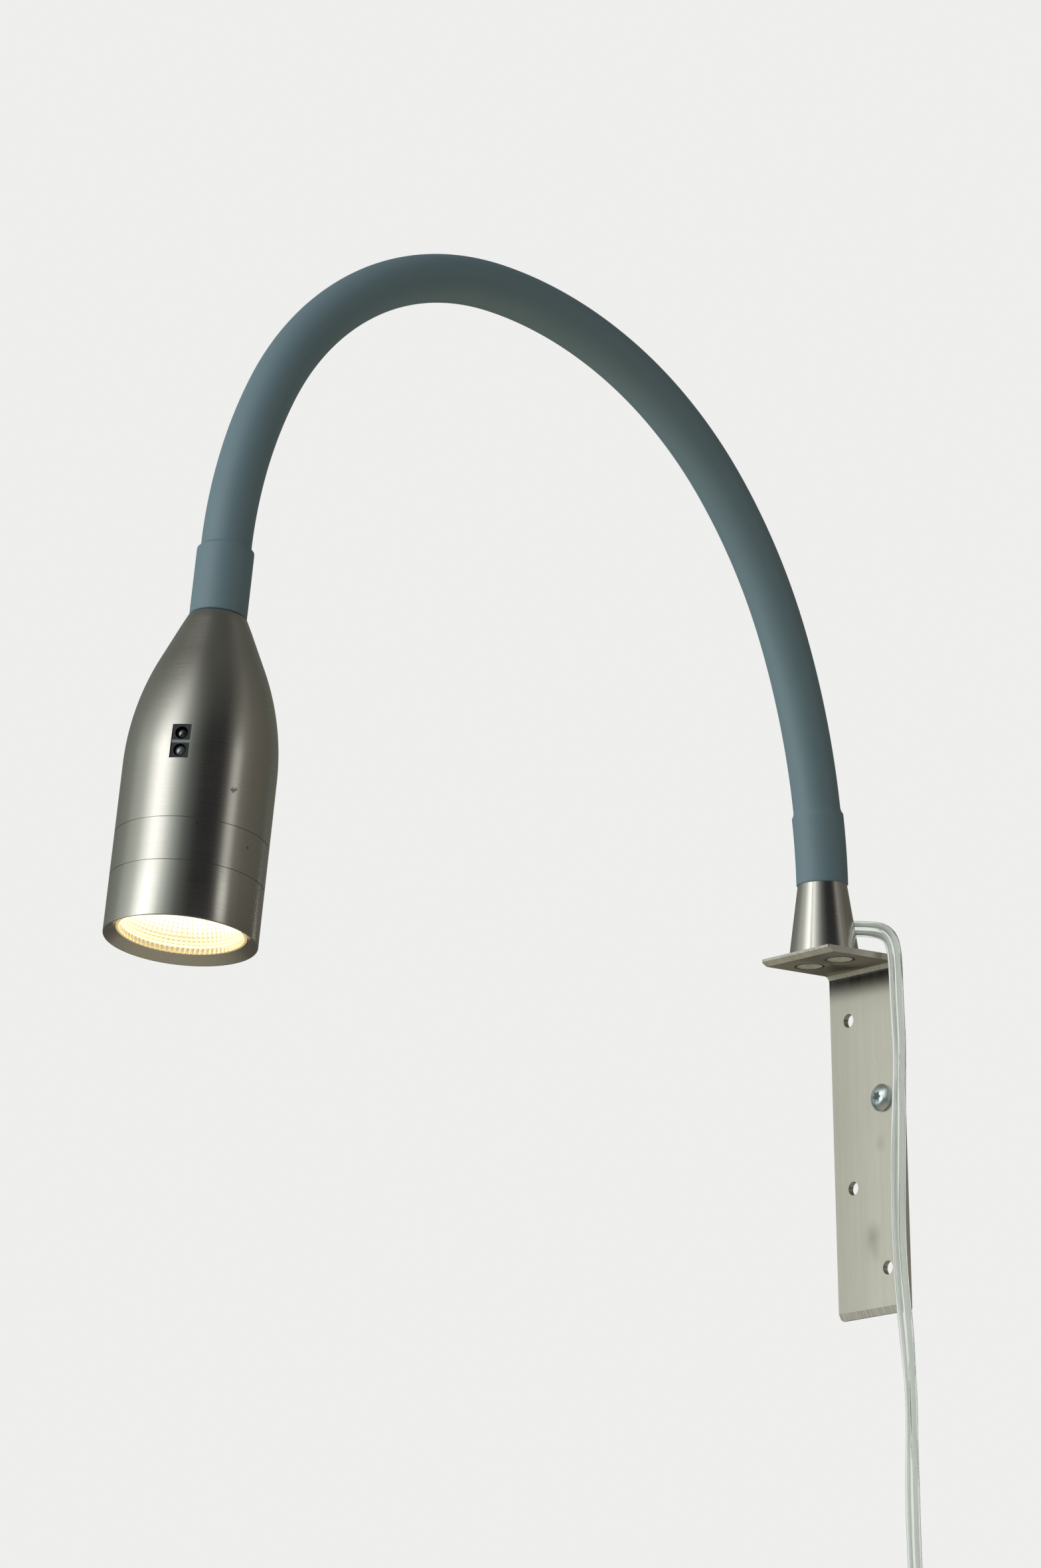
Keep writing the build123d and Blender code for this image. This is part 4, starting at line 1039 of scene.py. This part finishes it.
class SCONCE_OT_cord(bpy.types.Operator):
    """Builds the clear twin cord with its two cores, from the cone down to the coil and the plug"""

    bl_idname = "sconce.cord"
    bl_label = "Twin cord"

    def execute(self, context):
        sizes, colours = context.scene.sconce_sizes, context.scene.sconce_colours
        line = cord_line()
        frames = cord_frames(line)
        lobe, offset = sizes.cord_core_radius, sizes.cord_core_offset
        jacket = clear_jacket("clear_jacket", tuple(colours.cord))
        strands = tinned_strands("tinned_strands", (0.90, 0.93, 0.88))
        cord = sweep_section("twin_cord", frames, twin_section(lobe, offset), jacket)
        cores = self.cores(frames, lobe, offset, strands)
        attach(cord, "bracket")
        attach(cores, "bracket")
        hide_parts("power_cord", "cord_coil")
        dress("cord_tail", jacket)
        dress("cord_tie", moulded_plastic("tie_strip", (0.80, 0.81, 0.80), 0.45, 1500.0))
        dress("cord_plug", moulded_plastic("plug_body", (0.74, 0.76, 0.74), 0.34, 1100.0))
        dress("plug_pins", plain_metal("pin_nickel", (0.80, 0.79, 0.76), 0.2))
        return {"FINISHED"}

    @staticmethod
    def cores(frames, lobe, offset, material):
        """The two conductors inside the jacket, as one piece of two closed tubes."""
        radius, turn = lobe * CORE_SHARE, circle(CORE_SIDES)
        points, faces = [], []
        for side in (1, -1):
            rings = []
            for point, wide, thick in frames[1:-1]:
                middle = point + wide * (offset * side)
                rings.append([middle + (wide * x + thick * y) * radius for x, y in turn])
            more_points, more_faces = capped_sweep(rings)
            shift = len(points)
            points += more_points
            faces += [tuple(corner + shift for corner in face) for face in more_faces]
        return new_piece("cord_cores", points, faces, material, 60.0)


class SCONCE_OT_sleeve(bpy.types.Operator):
    """Builds the smooth sleeve in eight lengths, each of which spans one hinge of the neck"""

    bl_idname = "sconce.sleeve"
    bl_label = "Neck sleeve"

    def execute(self, context):
        sizes, colours = context.scene.sconce_sizes, context.scene.sconce_colours
        line = NeckLine()
        material = matt_rubber("sleeve_rubber", tuple(colours.sleeve))
        half = NECK_EACH / 2
        cuts = [0.0] + [line.knuckle(k) + half for k in range(7)] + [line.end - HEAD_GAP]
        for index in range(8):
            piece = sleeve_piece(f"sleeve_bend_{index}", line, cuts[index], cuts[index + 1], sizes, material)
            middle = line.knuckle(index)
            reach = END_REACH if index in (0, 7) else half
            low = (NECK_BODIES[index], tuple(line.at(middle - reach).translation))
            high = (NECK_BODIES[index + 1], tuple(line.at(middle + reach).translation))
            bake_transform(piece)
            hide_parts(*self.stands_for(index))
        return {"FINISHED"}

    @staticmethod
    def stands_for(index):
        if index == 0:
            return ["neck_sleeve_base"]
        if index == 7:
            return ["neck_sleeve_7", "neck_sleeve_tail"]
        return [f"neck_sleeve_{index}"]


class SCONCE_OT_head(bpy.types.Operator):
    """Turns the head's shell with its window, the middle ring and the front bezel"""

    bl_idname = "sconce.head"
    bl_label = "Turned head"

    def execute(self, context):
        sizes, colours = context.scene.sconce_sizes, context.scene.sconce_colours
        place = NeckLine().head()
        metal = turned_metal("satin_nickel", tuple(colours.head_metal))
        radius = sizes.head_radius
        bore = radius - HEAD_WALL
        shell = lathe("turned_shell", self.shell_section(radius, bore), place, metal)
        self.cut_window(shell, place, sizes)
        ring = lathe("turned_ring", self.ring_section(radius, bore), place, metal)
        bezel = lathe("turned_bezel", self.bezel_section(radius, bore), place, metal)
        for piece, node in ((shell, "head_shell"), (ring, "mid_ring"), (bezel, "front_bezel")):
            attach(piece, "head")
            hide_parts(node)
        return {"FINISHED"}

    @staticmethod
    def nose_radius(height, inset, radius):
        """Radius of the rounded nose at a height, drawn in by the wall's inset."""
        arc = NOSE_ARC - inset
        away = NOSE_END - height
        return radius - NOSE_ARC + math.sqrt(arc * arc - away * away)

    def shell_section(self, radius, bore):
        outside = [(NOSE_TOP_RADIUS - NOSE_CHAMFER, 0.0), (NOSE_TOP_RADIUS, NOSE_CHAMFER)]
        start = self.nose_radius(NOSE_CONE, 0.0, radius)
        for share in (0.25, 0.5, 0.75):
            outside.append((NOSE_TOP_RADIUS + (start - NOSE_TOP_RADIUS) * share, NOSE_CONE * share))
        for height in between(NOSE_CONE, NOSE_END, 34):
            outside.append((self.nose_radius(height, 0.0, radius), height))
        for height in between(NOSE_END + NOSE_STEP, SHELL_END - JOINT_SLOT, 14):
            outside.append((radius, height))
        outside.append((radius - JOINT_DEPTH, SHELL_END - JOINT_SLOT))
        outside.append((radius - JOINT_DEPTH, SHELL_END))
        inside = [(bore, SHELL_END), (bore, NOSE_END)]
        for height in between(NOSE_END - NOSE_STEP, NOSE_CONE + HEAD_WALL, 12):
            inside.append((self.nose_radius(height, HEAD_WALL, radius), height))
        inside.append((self.nose_radius(ROOF + 3 * MM, HEAD_WALL, radius), ROOF))
        inside.append((FERRULE_BORE, ROOF))
        inside.append((FERRULE_BORE, 0.0))
        return outside + inside

    @staticmethod
    def ring_section(radius, bore):
        fit = bore - SPIGOT_SLIP
        thin = fit - SPIGOT_WALL
        rise = RING_END - SPIGOT + RING_STEP
        return [
            (radius - JOINT_DEPTH, SHELL_END), (radius - JOINT_DEPTH, SHELL_END + JOINT_SLOT),
            (radius, SHELL_END + JOINT_SLOT), (radius, RING_END - JOINT_SLOT),
            (radius - JOINT_DEPTH, RING_END - JOINT_SLOT), (radius - JOINT_DEPTH, RING_END),
            (bore, RING_END), (bore, rise), (thin, rise),
            (thin, SHELL_END - SPIGOT), (fit, SHELL_END - SPIGOT), (fit, SHELL_END),
        ]

    @staticmethod
    def bezel_section(radius, bore):
        fit, lip = bore - SPIGOT_SLIP, RIM_ROUND
        back = RING_END - SPIGOT + BEZEL_STEP
        return [
            (radius - JOINT_DEPTH, RING_END), (radius - JOINT_DEPTH, RING_END + JOINT_SLOT),
            (radius, RING_END + JOINT_SLOT), (radius, HEAD_END - 2 * lip),
            (radius - 0.3 * lip, HEAD_END - lip), (radius - lip, HEAD_END),
            (radius - RIM_EDGE, HEAD_END), (radius - RIM_EDGE - lip, HEAD_END - lip),
            (RECESS_RADIUS, HEAD_END - RECESS), (RECESS_RADIUS, back), (fit, back), (fit, RING_END),
        ]

    @staticmethod
    def cut_window(shell, place, sizes):
        """Cuts the sensor's window through the shell's side."""
        wide, tall = sizes.window_width / 2, sizes.window_height / 2
        near, far = sizes.head_radius - WINDOW_DEPTH, sizes.head_radius + WINDOW_DEPTH
        corners = [(x, y, z) for x in (near, far) for y in (-wide, wide) for z in (-tall, tall)]
        faces = [(0, 1, 3, 2), (4, 6, 7, 5), (0, 4, 5, 1), (2, 3, 7, 6), (0, 2, 6, 4), (1, 5, 7, 3)]
        cutter = new_piece("window_cutter", corners, faces, shell.data.materials[0])
        turn = Matrix.Rotation(math.radians(90.0 - WINDOW_ANGLE), 4, "Z")
        cutter.matrix_world = place @ turn @ Matrix.Translation((0, 0, WINDOW_CENTRE))
        cut = shell.modifiers.new("window", "BOOLEAN")
        cut.operation = "DIFFERENCE"
        cut.solver = "EXACT"
        cut.object = cutter
        bpy.context.view_layer.update()
        evaluated = shell.evaluated_get(bpy.context.evaluated_depsgraph_get())
        mesh = bpy.data.meshes.new_from_object(evaluated)
        shell.modifiers.clear()
        shell.data = mesh
        mesh.shade_smooth()
        mesh.set_sharp_from_angle(angle=math.radians(HEAD_SHARP))
        bpy.data.objects.remove(cutter)


class SCONCE_OT_lamp(bpy.types.Operator):
    """Builds the faceted reflector and lights the chip behind it"""

    bl_idname = "sconce.lamp"
    bl_label = "Reflector and light"

    def execute(self, context):
        sizes, colours = context.scene.sconce_sizes, context.scene.sconce_colours
        place = NeckLine().head()
        # The reflector's painted glow shows only while the lamp is lit.
        glow = PAINTED_GLOW_STRENGTH if colours.lit else 0.0
        facets = (sizes.reflector_lobes, sizes.reflector_rows)
        coat = reflector_with_painted_glow("reflector_coat", tuple(colours.light), glow, *facets)
        reflector = self.reflector(sizes, coat)
        reflector.matrix_world = place
        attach(reflector, "head")
        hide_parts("reflector")
        strength = colours.light_strength if colours.lit else 0.0
        dress("led_chip", glowing_chip("lit_phosphor", (1.0, 0.84, 0.56), strength))
        return {"FINISHED"}

    @staticmethod
    def reflector(sizes, material):
        """A bowl of shallow pillow facets, closed by its outer skin and its scalloped rim."""
        neck_radius, mouth_radius, wall = 5.2 * MM, 17.3 * MM, 1.0 * MM
        neck_start, neck_end = 73.55 * MM, FACET_START
        mouth, rim = FACET_END, HEAD_END - RECESS
        lobe_depth, pillow = 0.35 * MM, 0.16 * MM
        columns = sizes.reflector_lobes * 6
        rows = sizes.reflector_rows * 4

        def ring_of(radius, height, wave):
            ring = []
            for k in range(columns):
                angle = 2 * math.pi * k / columns
                lobe = abs(math.cos(angle * sizes.reflector_lobes / 2))
                waved = radius + wave * lobe
                ring.append((waved * math.cos(angle), waved * math.sin(angle), height))
            return ring

        def bowl(share):
            """Radius and height of the bowl at a share of the way from its neck to its mouth."""
            radius = neck_radius + (mouth_radius - neck_radius) * math.sin(share * math.pi / 2) ** 0.85
            return radius, neck_end + (mouth - neck_end) * share

        rings = [ring_of(neck_radius, neck_start, 0.0)]
        for i in range(rows + 1):
            share = i / rows
            across = abs(math.sin(math.pi * share * sizes.reflector_rows)) ** 0.6
            rings.append(ring_of(*bowl(share), pillow * (0.35 + 0.65 * across) + 0.12 * MM * share))
        for share in (0.35, 0.7, 1.0):
            radius, height = mouth_radius + 0.35 * MM * share, mouth + (rim - mouth) * share
            rings.append(ring_of(radius, height, lobe_depth))
        outer = RECESS_RADIUS - 0.1 * MM - lobe_depth
        rings.append(ring_of(outer, rim, lobe_depth))
        rings.append(ring_of(outer, mouth + 0.2 * MM, lobe_depth))
        for i in range(rows, -1, -4):
            radius, height = bowl(i / rows)
            rings.append(ring_of(min(radius + wall, outer), height - 0.3 * MM, 0.0))
        rings.append(ring_of(neck_radius + wall, neck_start, 0.0))
        points, faces = closed_sweep(rings)
        return new_piece("faceted_reflector", points, faces, material, 28.0)


class SCONCE_OT_sensor(bpy.types.Operator):
    """Finishes the small sensor in the head's window"""

    bl_idname = "sconce.sensor"
    bl_label = "Sensor window"

    def execute(self, context):
        dress("sensor_frame", moulded_plastic("sensor_black", (0.012, 0.014, 0.018), 0.30, 1600.0))
        dress("sensor_receiver", dark_lens("dark_dome", (0.012, 0.022, 0.034)))
        dress("sensor_emitter", dark_lens("clear_dome", (0.16, 0.22, 0.24), 0.08, 1.0))
        dress("sensor_bar", moulded_plastic("sensor_bar_grey", (0.36, 0.42, 0.46), 0.35, 1600.0))
        dress("sensor_board", circuit_board("sensor_circuit", (0.02, 0.13, 0.06), (0.05, 0.22, 0.11)))
        return {"FINISHED"}


class SCONCE_OT_base(bpy.types.Operator):
    """Finishes the bent bracket, the cone on it and its screws"""

    bl_idname = "sconce.base"
    bl_label = "Bracket, cone and screws"

    def execute(self, context):
        colours = context.scene.sconce_colours
        dress("wall_bracket", brushed_strip("brushed_strip", tuple(colours.bracket_metal)))
        dress("base_cone", turned_metal("cone_nickel", tuple(colours.head_metal), 0.25))
        dress("wall_screw", plain_metal("blue_zinc", (0.74, 0.84, 0.86), 0.27, 500.0, 0.85))
        dress("flange_screws", plain_metal("bright_zinc", (0.98, 1.0, 0.96), 0.50, 90.0, 0.20))
        dress("cord_grommet", matt_rubber("grommet_rubber", (0.05, 0.052, 0.055)))
        return {"FINISHED"}


class SCONCE_OT_inside(bpy.types.Operator):
    """Finishes the pieces inside the neck and the head"""

    bl_idname = "sconce.inside"
    bl_label = "Inner pieces"

    def execute(self, context):
        steel = wound_core("neck_core_steel", (0.58, 0.58, 0.57))
        brass = plain_metal("ferrule_nickel", (0.66, 0.64, 0.58), 0.28)
        white_wire = moulded_plastic("white_wire", (0.76, 0.76, 0.74), 0.4, 900.0)
        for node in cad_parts:
            if node.startswith("neck_core"):
                dress(node, steel)
            elif node.startswith("neck_ferrule") or node == "ferrule_nut":
                dress(node, brass)
            elif node.startswith("neck_wires"):
                dress(node, white_wire)
        dress("wire_splices", plain_metal("crimp_tin", (0.70, 0.69, 0.66), 0.3))
        dress("head_leads", moulded_plastic("red_wire", (0.50, 0.04, 0.03), 0.4, 900.0))
        dress("heat_sink", plain_metal("sink_aluminium", (0.70, 0.71, 0.72), 0.36, 260.0))
        dress("led_board", circuit_board("white_board", (0.84, 0.84, 0.81), (0.74, 0.74, 0.70)))
        dress("board_screws", plain_metal("board_screw_zinc", (0.70, 0.70, 0.68), 0.28))
        dress("driver_board", circuit_board("driver_circuit", (0.02, 0.16, 0.07), (0.06, 0.27, 0.13)))
        dress("driver_parts", moulded_plastic("component_black", (0.025, 0.025, 0.028), 0.36, 800.0))
        return {"FINISHED"}


class SCONCE_PT_panel(bpy.types.Panel):
    """The sconce's steps and settings, in the sidebar"""

    bl_idname = "SCONCE_PT_panel"
    bl_label = "Sconce"
    bl_space_type = "VIEW_3D"
    bl_region_type = "UI"
    bl_category = "Sconce"

    def draw(self, context):
        layout = self.layout
        for group in (context.scene.sconce_sizes, context.scene.sconce_colours):
            box = layout.box()
            for name in group.bl_rna.properties.keys():
                if name not in ("rna_type", "name"):
                    box.prop(group, name)
        for operator in OPERATORS:
            layout.operator(operator.bl_idname)


OPERATORS = (
    SCONCE_OT_stage,
    SCONCE_OT_cord,
    SCONCE_OT_sleeve,
    SCONCE_OT_head,
    SCONCE_OT_lamp,
    SCONCE_OT_sensor,
    SCONCE_OT_base,
    SCONCE_OT_inside,
)
CLASSES = (SconceSizes, SconceColours) + OPERATORS + (SCONCE_PT_panel,)


def register():
    for entry in CLASSES:
        bpy.utils.register_class(entry)
    bpy.types.Scene.sconce_sizes = PointerProperty(type=SconceSizes)
    bpy.types.Scene.sconce_colours = PointerProperty(type=SconceColours)


def unregister():
    del bpy.types.Scene.sconce_colours
    del bpy.types.Scene.sconce_sizes
    for entry in reversed(CLASSES):
        bpy.utils.unregister_class(entry)


def main():
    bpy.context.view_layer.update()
    register()
    bpy.ops.sconce.stage()
    bpy.ops.sconce.cord()
    bpy.ops.sconce.sleeve()
    bpy.ops.sconce.head()
    bpy.ops.sconce.lamp()
    bpy.ops.sconce.sensor()
    bpy.ops.sconce.base()
    bpy.ops.sconce.inside()


if __name__ == "__main__":
    main()
